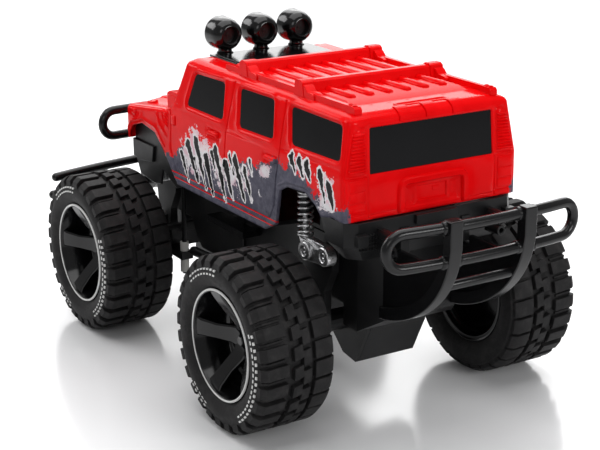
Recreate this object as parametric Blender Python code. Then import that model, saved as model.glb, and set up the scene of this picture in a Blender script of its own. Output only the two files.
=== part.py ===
"""Big-wheeled remote control off-road car, as an assembly of separate pieces.

Lengths are in millimetres. Stations (x) run forward from the rear axle, y runs to the car's left and z runs
up from the ground. in_metres() turns them into the model's own metres, whose origin lies on the ground
halfway between the bumpers.
"""

import math

import bmesh
import bpy
from mathutils import Vector

# ---------------------------------------------------------------- driving dimensions
MID_STATION = 79.75
FIT = 0.3

TYRE_RADIUS = 52.0
WHEELBASE = 193.0
AXLE_Z = TYRE_RADIUS
TYRE_INNER_Y = 62.5
TYRE_OUTER_Y = 111.4
RIM_RADIUS = 32.8
SHAFT_RADIUS = 2.5
WHEEL_SEGMENTS = 48

BODY_HALF_WIDTH = 58.5
ROOF_HALF_WIDTH = 50.0
BODY_REAR = -52.0
BODY_FRONT = 218.0
BELT_Z = 153.4
ROOF_Z = 187.0
PLATFORM_Z = 189.0
RAIL_Z = 190.4
BAR_TOP_Z = 195.4
BAR_X = (12.0, 75.0)
SHELL = 1.8

TUB_HALF_WIDTH = 34.0
TUB_REAR = -41.0
TUB_FRONT = 236.0
TUB_FLOOR_Z = 54.0
STAND_PAD_Z = 52.5
TUB_FRONT_FLOOR_Z = 76.0
TUB_TOP_Z = 104.0
TUB_WALL = 2.0
DECK_TOP_Z = 106.8

SHOCK_Y = 46.8
SHOCK_AHEAD = 8.0
BOSS_SPREAD = 10.0
BOSS_Z = 96.0
SPRING_LOW_Z = 104.9
SPRING_HIGH_Z = 131.7
SPRING_RADIUS = 5.0
ROD_RADIUS = 1.5

GEAR_MODULE = 0.8
AXLE_TEETH = 32
IDLER_SMALL_TEETH = 12
IDLER_BIG_TEETH = 30
PINION_TEETH = 10
CENTRE_SLACK = 0.1
IDLER_AHEAD = 8.0
MOTOR_RADIUS = 12.1

KINGPIN_Y = 57.0
POST_X = 173.0
POST_Y = 40.5
POST_RADIUS = 1.6
STEER_ARM = 14.0

TUBE = 3.1
REAR_TUBE_X = -101.3
REAR_LOOP_Y = 64.0
GUARD_X = 231.0
GUARD_LOOP_Y = 70.8
BUMPER_X = 260.0
BUMPER_Y = 97.0
PLATE_Y = 25.0

LAMP_X = 137.3
LAMP_Z = 201.1
LAMP_PITCH = 26.6
LAMP_RADIUS = 11.1

SIDES = (("left", 1), ("right", -1))
AXLES = (("rear", 0.0), ("front", WHEELBASE))


# ---------------------------------------------------------------- materials
def material(name, colour, roughness, metallic=0.0, transmission=0.0):
    made = bpy.data.materials.new(name)
    made.use_nodes = True
    shader = made.node_tree.nodes["Principled BSDF"]
    shader.inputs["Base Color"].default_value = (*colour, 1.0)
    shader.inputs["Roughness"].default_value = roughness
    shader.inputs["Metallic"].default_value = metallic
    shader.inputs["Transmission Weight"].default_value = transmission
    return made


def make_materials():
    return {
        "red": material("gloss_red_plastic", (0.78, 0.01, 0.01), 0.22),
        "black": material("satin_black_plastic", (0.012, 0.012, 0.013), 0.42),
        "gloss": material("gloss_black_plastic", (0.008, 0.008, 0.009), 0.18),
        "rubber": material("tyre_rubber", (0.02, 0.02, 0.02), 0.7),
        "glass": material("dark_tinted_plastic", (0.01, 0.01, 0.012), 0.1),
        "lens": material("clear_lens", (0.9, 0.9, 0.9), 0.05, 0.0, 0.9),
        "silver": material("silver_plating", (0.6, 0.6, 0.62), 0.25, 0.9),
        "steel": material("steel", (0.55, 0.55, 0.56), 0.3, 1.0),
        "nylon": material("natural_nylon", (0.8, 0.78, 0.72), 0.45),
        "board": material("circuit_board_green", (0.02, 0.18, 0.06), 0.4),
        "wrap": material("battery_wrap_blue", (0.03, 0.10, 0.35), 0.35),
    }


# ---------------------------------------------------------------- solids
def in_metres(point):
    x, y, z = point
    return Vector((x - MID_STATION, y, z)) * 0.001


def build(name, points, faces, finish, origin=(MID_STATION, 0.0, 0.0)):
    """A closed solid whose object origin lies at the given point."""
    start = in_metres(origin)
    bm = bmesh.new()
    corners = [bm.verts.new(in_metres(point) - start) for point in points]
    for face in faces:
        bm.faces.new([corners[i] for i in face])
    bmesh.ops.recalc_face_normals(bm, faces=bm.faces)
    mesh = bpy.data.meshes.new(name)
    bm.to_mesh(mesh)
    bm.free()
    mesh.materials.append(finish)
    made = bpy.data.objects.new(name, mesh)
    made.location = start
    bpy.context.collection.objects.link(made)
    return made


def loft(name, rings, finish, origin=(MID_STATION, 0.0, 0.0)):
    """Skins closed rings that all have the same number of corners, and caps both ends."""
    count = len(rings[0])
    points = [point for ring in rings for point in ring]
    faces = [list(range(count)), list(range(len(points) - count, len(points)))]
    for level in range(len(rings) - 1):
        for i in range(count):
            low, nxt = level * count + i, level * count + (i + 1) % count
            faces.append([low, nxt, nxt + count, low + count])
    return build(name, points, faces, finish, origin)


def on_plane(axis, level, pair):
    a, b = pair
    return {"X": (level, a, b), "Y": (a, level, b), "Z": (a, b, level)}[axis]


def prism(name, outline, axis, low, high, finish, origin=(MID_STATION, 0.0, 0.0)):
    """An outline in the plane square to an axis, drawn out along that axis."""
    rings = [[on_plane(axis, level, pair) for pair in outline] for level in (low, high)]
    return loft(name, rings, finish, origin)


def block(name, low, high, finish, origin=(MID_STATION, 0.0, 0.0)):
    outline = [(low[0], low[1]), (high[0], low[1]), (high[0], high[1]), (low[0], high[1])]
    return prism(name, outline, "Z", low[2], high[2], finish, origin)


def circle(centre, radius, count, start=0.0, sweep=2 * math.pi):
    """Corners on an arc; a full turn leaves out the repeated last corner."""
    whole = abs(sweep - 2 * math.pi) < 1e-6
    steps = count if whole else count - 1
    angles = [start + sweep * i / steps for i in range(count)]
    return [(centre[0] + radius * math.cos(a), centre[1] + radius * math.sin(a)) for a in angles]


def rod(name, axis, centre, radius, low, high, finish, count=16, origin=(MID_STATION, 0.0, 0.0)):
    return prism(name, circle(centre, radius, count), axis, low, high, finish, origin)


def turned(name, profile, axis, centre, finish, count, origin=(MID_STATION, 0.0, 0.0)):
    """Turns a closed profile of (place along the axis, radius) pairs, none of them on the axis."""
    rings = []
    for i in range(count):
        a = 2 * math.pi * i / count
        ring = []
        for along, radius in profile:
            pair = (centre[0] + radius * math.cos(a), centre[1] + radius * math.sin(a))
            ring.append(on_plane(axis, along, pair))
        rings.append(ring)
    size = len(profile)
    points = [point for ring in rings for point in ring]
    faces = []
    for i in range(count):
        here, there = i * size, (i + 1) % count * size
        for j in range(size):
            k = (j + 1) % size
            faces.append([here + j, here + k, there + k, there + j])
    return build(name, points, faces, finish, origin)


def tube(name, path, radius, finish, closed=False, sides=8):
    """A round bar along a path that lies roughly in a plane square to X."""
    points = [Vector(point) for point in path]
    count = len(points)
    rings = []
    for i, here in enumerate(points):
        before = points[i - 1] if closed or i else here
        after = points[(i + 1) % count] if closed or i < count - 1 else here
        along = (after - before).normalized()
        side = along.cross(Vector((1, 0, 0))).normalized()
        up = side.cross(along)
        turns = [2 * math.pi * (k + 0.5) / sides for k in range(sides)]
        rings.append([here + radius * (math.cos(a) * side + math.sin(a) * up) for a in turns])
    if not closed:
        return loft(name, rings, finish)
    corners = [point for ring in rings for point in ring]
    faces = []
    for i in range(count):
        here, there = i * sides, (i + 1) % count * sides
        for k in range(sides):
            j = (k + 1) % sides
            faces.append([here + k, here + j, there + j, there + k])
    return build(name, corners, faces, finish)


def helper(made):
    made.hide_render = True
    made.display_type = "WIRE"
    return made


def combine(target, tools, operation):
    for tool in tools:
        step = target.modifiers.new(f"{operation.lower()}_{tool.name}", "BOOLEAN")
        step.operation = operation
        step.solver = "EXACT"
        step.object = helper(tool)


def cut(target, *tools):
    combine(target, tools, "DIFFERENCE")


def fuse(target, *tools):
    combine(target, tools, "UNION")


def gear_outline(teeth, centre, tooth_at):
    """Straight-flanked spur teeth with backlash; one tooth is centred on the angle tooth_at."""
    pitch = GEAR_MODULE * teeth / 2
    root, tip = pitch - 1.2 * GEAR_MODULE, pitch + 0.85 * GEAR_MODULE
    half = math.pi / (2 * teeth)
    outline = []
    for i in range(teeth):
        middle = tooth_at + 2 * math.pi * i / teeth
        for radius, width in ((root, -1.15), (tip, -0.42), (tip, 0.42), (root, 1.15)):
            a = middle + width * half
            outline.append((centre[0] + radius * math.cos(a), centre[1] + radius * math.sin(a)))
    return outline


# ---------------------------------------------------------------- body shell and glazing
def half_width(z):
    """Half the body's width at a height: upright to the belt line, then leaning in to the roof."""
    lean = max(0.0, (z - BELT_Z) / (ROOF_Z - BELT_Z))
    return BODY_HALF_WIDTH + (ROOF_HALF_WIDTH - BODY_HALF_WIDTH) * lean


def rear_station(z):
    return BODY_REAR + (z - 129.0) * 4.5 / (ROOF_Z - 129.0)


def windscreen_station(z):
    return 151.0 - (z - BELT_Z) * 13.0 / (ROOF_Z - BELT_Z)


FRONT_ARCH = [
    (144.0, 104.0), (163.8, 123.8), (174.7, 132.1), (193.4, 134.5), (208.5, 130.0), (BODY_FRONT, 119.6),
]
REAR_ARCH = [
    (BODY_REAR, 129.0), (-39.5, 130.0), (-28.1, 127.4), (-22.4, 132.6), (-11.4, 137.3),
    (7.8, 135.7), (15.6, 131.6), (19.8, 110.2), (32.2, 104.0),
]
HOOD = [(BODY_FRONT, 143.5), (162.0, 151.0), (151.0, BELT_Z)]


def body_form(name, under, hood, inset, finish):
    """The body's closed outer form, or the room inside it when inset by the wall."""
    roof = ROOF_Z - inset
    belt = [(windscreen_station(BELT_Z) - inset, BELT_Z), (rear_station(BELT_Z) + inset, BELT_Z)]
    top = [(windscreen_station(roof) - inset, roof), (rear_station(roof) + inset, roof)]
    low = under + hood + belt
    points, sides = [], []
    for sign in (1, -1):
        points += [(x, sign * (BODY_HALF_WIDTH - inset), z) for x, z in low]
        points += [(x, sign * (half_width(roof) - inset), z) for x, z in top]
        start = len(sides) * (len(low) + 2)
        sides.append([start + i for i in range(len(low) + 2)])
    near, far = sides
    count = len(low)
    faces = [near[:count], far[:count]]
    faces += [[ring[count - 2], ring[count], ring[count + 1], ring[count - 1]] for ring in sides]
    edges = [(i, i + 1) for i in range(count - 2)]
    edges += [(count - 2, count), (count, count + 1), (count + 1, count - 1), (count - 1, 0)]
    faces += [[near[i], near[j], far[j], far[i]] for i, j in edges]
    return build(name, points, faces, finish)


def side_window_outlines():
    front = [(133.0, 158.0), (87.0, 158.0), (91.0, 178.0), (127.0, 177.0)]
    middle = [(67.5, 158.0), (28.0, 158.6), (34.0, 178.6), (71.5, 178.2)]
    rear = [(8.0, 160.0), (-40.5, 161.5), (-37.5, 179.0), (14.0, 178.6)]
    return front, middle, rear


def cowl_forms(finish):
    """The blocks beside the foot of the windscreen, just inside the plane of the sides."""
    made = []
    for side, sign in SIDES:
        low, high = sorted((sign * 46, sign * 58.2))
        made.append(block(f"cowl_form_{side}", (142.5, low, 148), (163.8, high, 166), finish))
    return made


def roof_forms(finish):
    """The raised middle of the roof, its side rails, and two cross bars on end brackets."""
    base = ROOF_Z - 1.0
    made = [block("platform_form", (-29, -41, base), (99, 41, PLATFORM_Z), finish)]
    for side, sign in SIDES:
        low, high = sorted((sign * 43.5, sign * 48.0))
        made.append(block(f"rail_form_{side}", (-44, low, base + 0.1), (98, high, RAIL_Z), finish))
    for n, x in enumerate(BAR_X):
        made.append(block(f"bar_form_{n}", (x - 3.5, -49, base + 0.2), (x + 3.5, 49, BAR_TOP_Z), finish))
        for side, sign in SIDES:
            low, high = sorted((sign * 39.5, sign * 49.5))
            corners = (x - 13, low, base + 0.3), (x + 6, high, RAIL_Z + 1.6)
            made.append(block(f"foot_form_{n}_{side}", *corners, finish))
    return made


def make_body_shell(finish):
    shell = body_form("body_shell", REAR_ARCH + FRONT_ARCH, HOOD[:-1], 0.0, finish)
    fuse(shell, *cowl_forms(finish), *roof_forms(finish))
    under = [(BODY_REAR + SHELL, 90.0), (BODY_FRONT - SHELL, 90.0)]
    hood = [(x - SHELL, z - SHELL) for x, z in HOOD[:-1]]
    cut(shell, body_form("body_room", under, hood, SHELL, finish))
    for n, window in enumerate(side_window_outlines()):
        cut(shell, prism(f"side_opening_{n}", window, "Y", -70, 70, finish))
    rear_pane = [(-41.6, 154.5), (41.6, 154.5), (41.6, 179.6), (-41.6, 179.6)]
    cut(shell, prism("rear_opening", rear_pane, "X", BODY_REAR - 5, BODY_REAR + 12, finish))
    screen = [(-47.0, 158.0), (47.0, 158.0), (43.5, 182.0), (-43.5, 182.0)]
    cut(shell, prism("screen_opening", screen, "X", 130, 158, finish))


def make_glazing(finish):
    depth, thick = SHELL + FIT, 1.2
    low, high = 155.6, 182.5
    for side, sign in SIDES:
        rings = []
        for inset in (depth, depth + thick):
            ring = [(-44.0, low), (135.0, low), (127.0, high), (-42.0, high)]
            rings.append([(x, sign * (half_width(z) - inset), z) for x, z in ring])
        loft(f"window_{side}", rings, finish)
    panes = (("windscreen", windscreen_station, -1, 49.0), ("rear_window", rear_station, 1, 46.5))
    for name, station, way, wide in panes:
        rings = []
        for inset in (depth, depth + thick):
            top = high + 0.8
            ring = [(-wide, low), (wide, low), (wide - 5.0, top), (5.0 - wide, top)]
            rings.append([(station(z) + way * inset, y, z) for y, z in ring])
        loft(name, rings, finish)


def make_front_face(metals):
    front, gloss = BODY_FRONT + FIT, metals["gloss"]
    grille = block("grille", (front, -35, 122.5), (front + 2, 35, 141), gloss)
    for n in range(7):
        middle = (n - 3) * 9.4
        corners = (front - 1, middle - 2.6, 125), (front + 3, middle + 2.6, 138.5)
        cut(grille, block(f"slot_{n}", *corners, gloss))
    dome = [(front, 8.2), (front + 1.4, 8.2), (front + 2.6, 6.0), (front + 3.2, 3.0), (front + 3.4, 0.6)]
    for side, sign in SIDES:
        rings = []
        for x, radius in dome:
            rings.append([(x, y, z) for y, z in circle((sign * 46.0, 131.5), radius, 20)])
        loft(f"headlamp_{side}", rings, metals["lens"])


def make_roof_lamps(metals):
    gloss = metals["gloss"]
    block("lamp_bar", (104, -41, ROOF_Z + FIT), (146, 41, ROOF_Z + 2.4), gloss)
    section = [
        (-8.2, 6.6), (-7.6, 9.4), (-5.0, 10.7), (-1.0, LAMP_RADIUS),
        (7.0, LAMP_RADIUS), (7.0, 9.8), (-4.0, 9.3), (-6.4, 6.6),
    ]
    pod = [(LAMP_X + ahead, radius) for ahead, radius in section]
    low, high = ROOF_Z + 2.4 + FIT, LAMP_Z - 10.2
    for name, y in (("left", LAMP_PITCH), ("centre", 0.0), ("right", -LAMP_PITCH)):
        made = turned(f"lamp_pod_{name}", pod, "X", (y, LAMP_Z), gloss, 18)
        fuse(made, block(f"lamp_foot_{name}", (LAMP_X - 3, y - 3, low), (LAMP_X + 3, y + 3, high), gloss))
        rod(f"lamp_lens_{name}", "X", (y, LAMP_Z), 9.4, LAMP_X + 4.0, LAMP_X + 6.2, metals["lens"], 18)


# ---------------------------------------------------------------- chassis
def make_tub(finish):
    outline = [
        (TUB_REAR, 63), (-27, TUB_FLOOR_Z), (-13, TUB_FLOOR_Z), (-13, 67.5), (13, 67.5), (13, TUB_FLOOR_Z),
        (150, TUB_FLOOR_Z), (152, TUB_FRONT_FLOOR_Z), (TUB_FRONT, TUB_FRONT_FLOOR_Z),
        (TUB_FRONT, TUB_TOP_Z), (TUB_REAR, TUB_TOP_Z),
    ]
    tub = prism("chassis_tub", outline, "Y", -TUB_HALF_WIDTH, TUB_HALF_WIDTH, finish)
    for side, sign in SIDES:
        corner = [(-27, sign * 34), (-60, sign * 34 - sign * 20.8), (-60, sign * 50), (-27, sign * 50)]
        cut(tub, prism(f"corner_{side}", corner, "Z", 40, 120, finish))
        nose = [(200, sign * 34), (250, sign * 34 - sign * 11), (250, sign * 50), (200, sign * 50)]
        cut(tub, prism(f"nose_{side}", nose, "Z", 60, 120, finish))
    wall = TUB_WALL
    half = TUB_HALF_WIDTH - wall
    back, front = TUB_REAR + wall, TUB_FRONT - wall
    rear_room = [(back, -22), (-26, -half), (46, -half), (46, half), (-26, half), (back, 22)]
    tray_room = [(50, -half), (148, -half), (148, half), (50, half)]
    nose_room = [(152, -half), (198, -half), (front, -23.5), (front, 23.5), (198, half), (152, half)]
    cut(tub, prism("rear_room", rear_room, "Z", 66, 110, finish))
    cut(tub, prism("tray_room", tray_room, "Z", TUB_FLOOR_Z + wall, 110, finish))
    cut(tub, prism("nose_room", nose_room, "Z", TUB_FRONT_FLOOR_Z + wall, 110, finish))
    cut(tub, block("gearbox_opening", (-25, -30, 40), (46, 30, 90), finish))
    cut(tub, block("switch_slot", (138, -2, 40), (146, 2, 60), finish))
    cut(tub, block("battery_hatch", (66, -20, 40), (118, 20, 60), finish))
    fuse(tub, block("stand_pad", (124.5, -15, STAND_PAD_Z), (135.5, 15, TUB_FLOOR_Z + 0.5), finish))
    for side, sign in SIDES:
        low, high = sorted((sign * 32.5, sign * (POST_Y + 3.5)))
        post = rod(f"post_{side}", "Z", (POST_X, sign * POST_Y), POST_RADIUS, 31, 100, finish, 10)
        shelf = block(f"post_shelf_{side}", (POST_X - 4, low, 98), (POST_X + 4, high, TUB_TOP_Z), finish)
        fuse(tub, shelf, post)


def make_deck(finish):
    low = TUB_TOP_Z + FIT
    outline = [
        (-34, -26), (-20, -33), (30, -33), (34, -56.4), (138, -56.4), (150, -33), (200, -33), (222, -27),
    ]
    outline += [(x, -y) for x, y in reversed(outline)]
    deck = prism("chassis_deck", outline, "Z", low, DECK_TOP_Z, finish)
    cup_z = SPRING_HIGH_Z + FIT
    tower = [(20, 105), (33, 105), (33, 120), (39, cup_z), (52.5, cup_z), (52.5, 140), (34, 140), (20, 124)]
    for axle, station in AXLES:
        middle = station + SHOCK_AHEAD
        for side, sign in SIDES:
            leg = [(sign * y, z) for y, z in tower]
            fuse(deck, prism(f"tower_{axle}_{side}", leg, "X", middle - 6, middle + 6, finish))
            place, bore = (middle, sign * SHOCK_Y), ROD_RADIUS + 0.4
            fuse(deck, rod(f"guide_{axle}_{side}", "Z", place, 3.4, 118, 134, finish, 14))
            cut(deck, rod(f"guide_bore_{axle}_{side}", "Z", place, bore, 110, 136, finish, 14))


def make_valance(finish):
    def ring(z, rear, front, wide):
        return [(rear, -wide, z), (front, -wide, z), (front, wide, z), (rear, wide, z)]

    outer = [ring(104.9, -47.5, -37.5, 50.5), ring(114, -53.5, -31, 57.5), ring(127, -53.5, -24, 57.5)]
    inner = [ring(106.9, -46, -37.4, 48.5), ring(114.3, -51.5, -32.6, 55.5), ring(130, -51.5, -23, 55.5)]
    valance = loft("rear_valance", outer, finish)
    cut(valance, loft("valance_hollow", inner, finish))


def loop_path(x_at, half, low, high):
    """A long loop across the car: two level runs joined by a half circle at each end."""
    radius, middle = (high - low) / 2, (high + low) / 2
    path = []
    for sign in (1, -1):
        arc = circle((sign * (half - radius), middle), radius, 9, -sign * math.pi / 2, math.pi)
        path += arc
        path += [(-sign * part * (half - radius), (high, low)[sign < 0]) for part in (-0.5, 0.0, 0.5)]
    return [(x_at(y), y, z) for y, z in path]


def make_rear_bumper(finish):
    def bowed(y):
        return REAR_TUBE_X + 5.5 * (y / REAR_LOOP_Y) ** 2

    loop = tube("rear_bumper", loop_path(bowed, REAR_LOOP_Y, 116.2, 135.2), TUBE, finish, True)
    low_bar = tube("low_bar", [(-94.0, y, 100.0) for y in (-26, 0, 26)], 2.8, finish)
    curve = [
        (-41.3, 65.5), (-52, 67.5), (-66, 72.5), (-79, 80), (-90, 89.5), (-98, 100),
        (-103.5, 112), (-106, 124), (-106, 139.6),
    ]
    inner = [
        (-98.5, 139.6), (-98.5, 124), (-96, 113), (-91, 103.5), (-84.5, 95), (-74.5, 86.2),
        (-62.5, 79.4), (-51, 75.2), (-41.3, 73.2),
    ]
    web = [
        (-41.3, 73.2), (-51, 75.2), (-62.5, 79.4), (-74.5, 86.2), (-84.5, 95), (-91, 103.5),
        (-95, 110), (-54.2, 110), (-54.2, 104.3), (-41.3, 104.3),
    ]
    for side, sign in SIDES:
        y = sign * PLATE_Y
        flange = prism(f"rear_flange_{side}", curve + inner, "Y", y - 4, y + 4, finish)
        grown = [(x - 0.8, z - 0.8) if 0 < i < 7 else (x, z) for i, (x, z) in enumerate(web)]
        fuse(loop, flange, prism(f"rear_web_{side}", grown, "Y", y - 1.5, y + 1.5, finish))
    fuse(loop, low_bar)


def make_front_bumper(finish):
    def drooping(y):
        share = abs(y) / BUMPER_Y
        return (BUMPER_X - 4.0 * share ** 4, y, 92.4 - 5.0 * share)

    steps = [-1, -0.97, -0.9, -0.75, -0.5, -0.25, 0, 0.25, 0.5, 0.75, 0.9, 0.97, 1]
    bar = tube("front_bumper", [drooping(BUMPER_Y * s) for s in steps], TUBE, finish)
    low_bar = tube("front_low_bar", [(262.64, BUMPER_Y * s, 73.0) for s in steps[::2]], TUBE, finish)
    root = TUB_FRONT + FIT
    horn = [
        (root, 79), (246, 71), (262, 69.6), (264, 76), (262.5, 92), (258, 97.5), (246, 100.5), (root, 102),
    ]
    for side, sign in SIDES:
        y = sign * PLATE_Y
        fuse(bar, prism(f"front_horn_{side}", horn, "Y", y - 2.5, y + 2.5, finish))
    fuse(bar, low_bar)


def make_front_guard(finish):
    def bowed(y):
        return GUARD_X - 4.0 * (y / GUARD_LOOP_Y) ** 2

    guard = tube("front_guard", loop_path(bowed, GUARD_LOOP_Y, 120.6, 140.0), TUBE, finish, True)
    foot = TUB_TOP_Z + FIT
    stem = [(224.0, foot), (234.5, foot), (235.0, 118), (235.2, 142), (229.0, 144), (227.0, 120)]
    for side, sign in SIDES:
        y = sign * PLATE_Y * 0.9
        fuse(guard, prism(f"guard_stem_{side}", stem, "Y", y - 3, y + 3, finish))


def make_side_steps(finish):
    wall = TUB_HALF_WIDTH + FIT
    for side, sign in SIDES:
        low, high = sorted((sign * 39.5, sign * 50.0))
        step = block(f"side_step_{side}", (76, low, 84), (122, high, 88), finish)
        low, high = sorted((sign * wall, sign * 42.0))
        for n, x in enumerate((84, 112)):
            fuse(step, block(f"step_arm_{side}_{n}", (x - 2.5, low, 82), (x + 2.5, high, 87), finish))


def make_inside(metals):
    pack = [(60, 57), (128, 57), (130, 59), (130, 82), (128, 84), (60, 84), (58, 82), (58, 59)]
    prism("battery_pack", pack, "Y", -24, 24, metals["wrap"])
    board = block("circuit_board", (64, -26, 102.4), (126, 26, 104.0), metals["board"])
    parts = ((70, 80, -20, -8, 98), (88, 100, -4, 10, 97.5), (108, 118, 6, 20, 96), (74, 82, 8, 18, 99.5))
    for n, (x0, x1, y0, y1, z) in enumerate(parts):
        fuse(board, block(f"chip_{n}", (x0, y0, z), (x1, y1, 103), metals["board"]))
    block("battery_cover", (64, -23, 50.6), (122, 23, TUB_FLOOR_Z - FIT), metals["black"], (64, 0, 52))
    knob = block("power_switch", (138.6, -1.5, 48), (142.0, 1.5, 57), metals["black"], (140.3, 0, 54))
    fuse(knob, block("switch_pad", (137.3, -3.4, 48), (143.3, 3.4, 51), metals["black"]))


# ---------------------------------------------------------------- springs and rear axle unit
def make_springs(finish):
    low, high, bore = SPRING_LOW_Z, SPRING_HIGH_Z, 3.8
    profile = [(low, bore), (low, SPRING_RADIUS), (high, SPRING_RADIUS), (high, bore)]
    for axle, station in AXLES:
        for side, sign in SIDES:
            centre = (station + SHOCK_AHEAD, sign * SHOCK_Y)
            turned(f"spring_{axle}_{side}", profile, "Z", centre, finish, 16)


def make_shock_brackets(finish):
    for axle, station in AXLES:
        back, front = station - BOSS_SPREAD, station + BOSS_SPREAD
        outline = circle((back, BOSS_Z), 6.2, 7, math.radians(105), math.radians(170))
        outline += circle((front, BOSS_Z), 6.2, 7, math.radians(-95), math.radians(120))
        outline += [(front + 4.6, SPRING_LOW_Z - FIT), (front - 8.6, SPRING_LOW_Z - FIT)]
        for side, sign in SIDES:
            low, high = sorted((sign * 43.9, sign * 50.4))
            made = prism(f"shock_bracket_{axle}_{side}", outline, "Y", low, high, finish)
            rod_at = (station + SHOCK_AHEAD, sign * SHOCK_Y)
            fuse(made, rod(f"shock_rod_{axle}_{side}", "Z", rod_at, ROD_RADIUS, 102, 128.5, finish, 10))


def ear_outline(station):
    """The upright lug that carries a shock bracket, clear of the steering rod that passes behind it."""
    corners = [(-7, 50), (7, 50), (13, 88), (13, 101), (-15, 101), (-15, 88), (-7, 74)]
    return [(station + x, z) for x, z in corners]


def gearbox_outline(inset):
    outer = [
        (-6.8, 25), (6.8, 27), (24, 42), (41, 54), (42, 80), (34, 85), (0, 85), (-18.7, 72), (-18.7, 48.5),
    ]
    count = len(outer)
    result = []
    for i, here in enumerate(outer):
        here = Vector(here)
        before = (here - Vector(outer[i - 1])).normalized()
        after = (Vector(outer[(i + 1) % count]) - here).normalized()
        normal = Vector((-before.y - after.y, before.x + after.x)).normalized()
        reach = inset / max(0.3, normal.dot(Vector((-before.y, before.x))))
        result.append(tuple(here + normal * reach))
    return result


def idler_place():
    reach = GEAR_MODULE * (AXLE_TEETH + IDLER_SMALL_TEETH) / 2 + CENTRE_SLACK
    return IDLER_AHEAD, AXLE_Z + math.sqrt(reach ** 2 - IDLER_AHEAD ** 2)


def motor_place():
    reach = GEAR_MODULE * (IDLER_BIG_TEETH + PINION_TEETH) / 2 + CENTRE_SLACK
    x, z = idler_place()
    rise = 1.8
    return x + math.sqrt(reach ** 2 - rise ** 2), z + rise


def make_gearbox(metals):
    black = metals["black"]
    case = prism("gearbox_housing", gearbox_outline(0.0), "Y", -21, 18.5, black)
    cover = prism("gearbox_cover", gearbox_outline(0.0), "Y", 18.8, 21, black)
    for body, sign in ((case, -1), (cover, 1)):
        low, high = sorted((sign * 20, sign * 57))
        ear_low, ear_high = sorted((sign * 38.5, sign * 43.6))
        fuse(body, rod(f"axle_tube_{sign}", "Y", (0, AXLE_Z), 6.5, low, high, black, 16))
        fuse(body, prism(f"rear_ear_{sign}", ear_outline(0.0), "Y", ear_low, ear_high, black))
    cut(case, prism("gear_room", gearbox_outline(2.5), "Y", -18.5, 30, black))
    x, z = idler_place()
    fuse(cover, rod("idler_post", "Y", (x, z), 1.2, 8.8, 19.5, black, 10))
    for name, body in (("case", case), ("cover", cover)):
        cut(body, rod(f"{name}_shaft_bore", "Y", (0, AXLE_Z), SHAFT_RADIUS + 0.4, -60, 60, black, 16))
    x, z = motor_place()
    motor = rod("drive_motor", "Y", (x, z), MOTOR_RADIUS, -18.2, 6.5, metals["silver"], 24)
    fuse(motor, rod("motor_nose", "Y", (x, z), 4.5, 6.0, 8.0, metals["silver"], 16))
    cut(motor, rod("motor_bore", "Y", (x, z), 1.3, -12, 10, metals["silver"], 10))


def make_drive_train(metals):
    axle = (0.0, AXLE_Z)
    idler, motor = idler_place(), motor_place()
    towards_idler = math.atan2(idler[1] - axle[1], idler[0] - axle[0])
    towards_motor = math.atan2(motor[1] - idler[1], motor[0] - idler[0])
    nylon, steel = metals["nylon"], metals["steel"]
    rod("rear_axle_shaft", "Y", axle, SHAFT_RADIUS, -92, 92, steel, 16, (0, 0, AXLE_Z))
    teeth = gear_outline(AXLE_TEETH, axle, towards_idler)
    gear = prism("axle_gear", teeth, "Y", 13, 17, nylon, (0, 0, AXLE_Z))
    cut(gear, rod("axle_gear_bore", "Y", axle, SHAFT_RADIUS + FIT, 10, 20, nylon, 16))
    origin = (idler[0], 0, idler[1])
    big_teeth = gear_outline(IDLER_BIG_TEETH, idler, towards_motor)
    wheel = prism("idler_gear", big_teeth, "Y", 9, 12.5, nylon, origin)
    small_gap = towards_idler + math.pi + math.pi / IDLER_SMALL_TEETH
    small_teeth = gear_outline(IDLER_SMALL_TEETH, idler, small_gap)
    fuse(wheel, prism("idler_small", small_teeth, "Y", 12, 17, nylon))
    cut(wheel, rod("idler_bore", "Y", idler, 1.6, 5, 20, nylon, 12))
    origin = (motor[0], 0, motor[1])
    pinion_teeth = gear_outline(PINION_TEETH, motor, towards_motor + math.pi + math.pi / PINION_TEETH)
    pinion = prism("motor_pinion", pinion_teeth, "Y", 8.6, 13, steel, origin)
    fuse(pinion, rod("motor_shaft", "Y", motor, 1.0, -10, 10, steel, 10))


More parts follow.
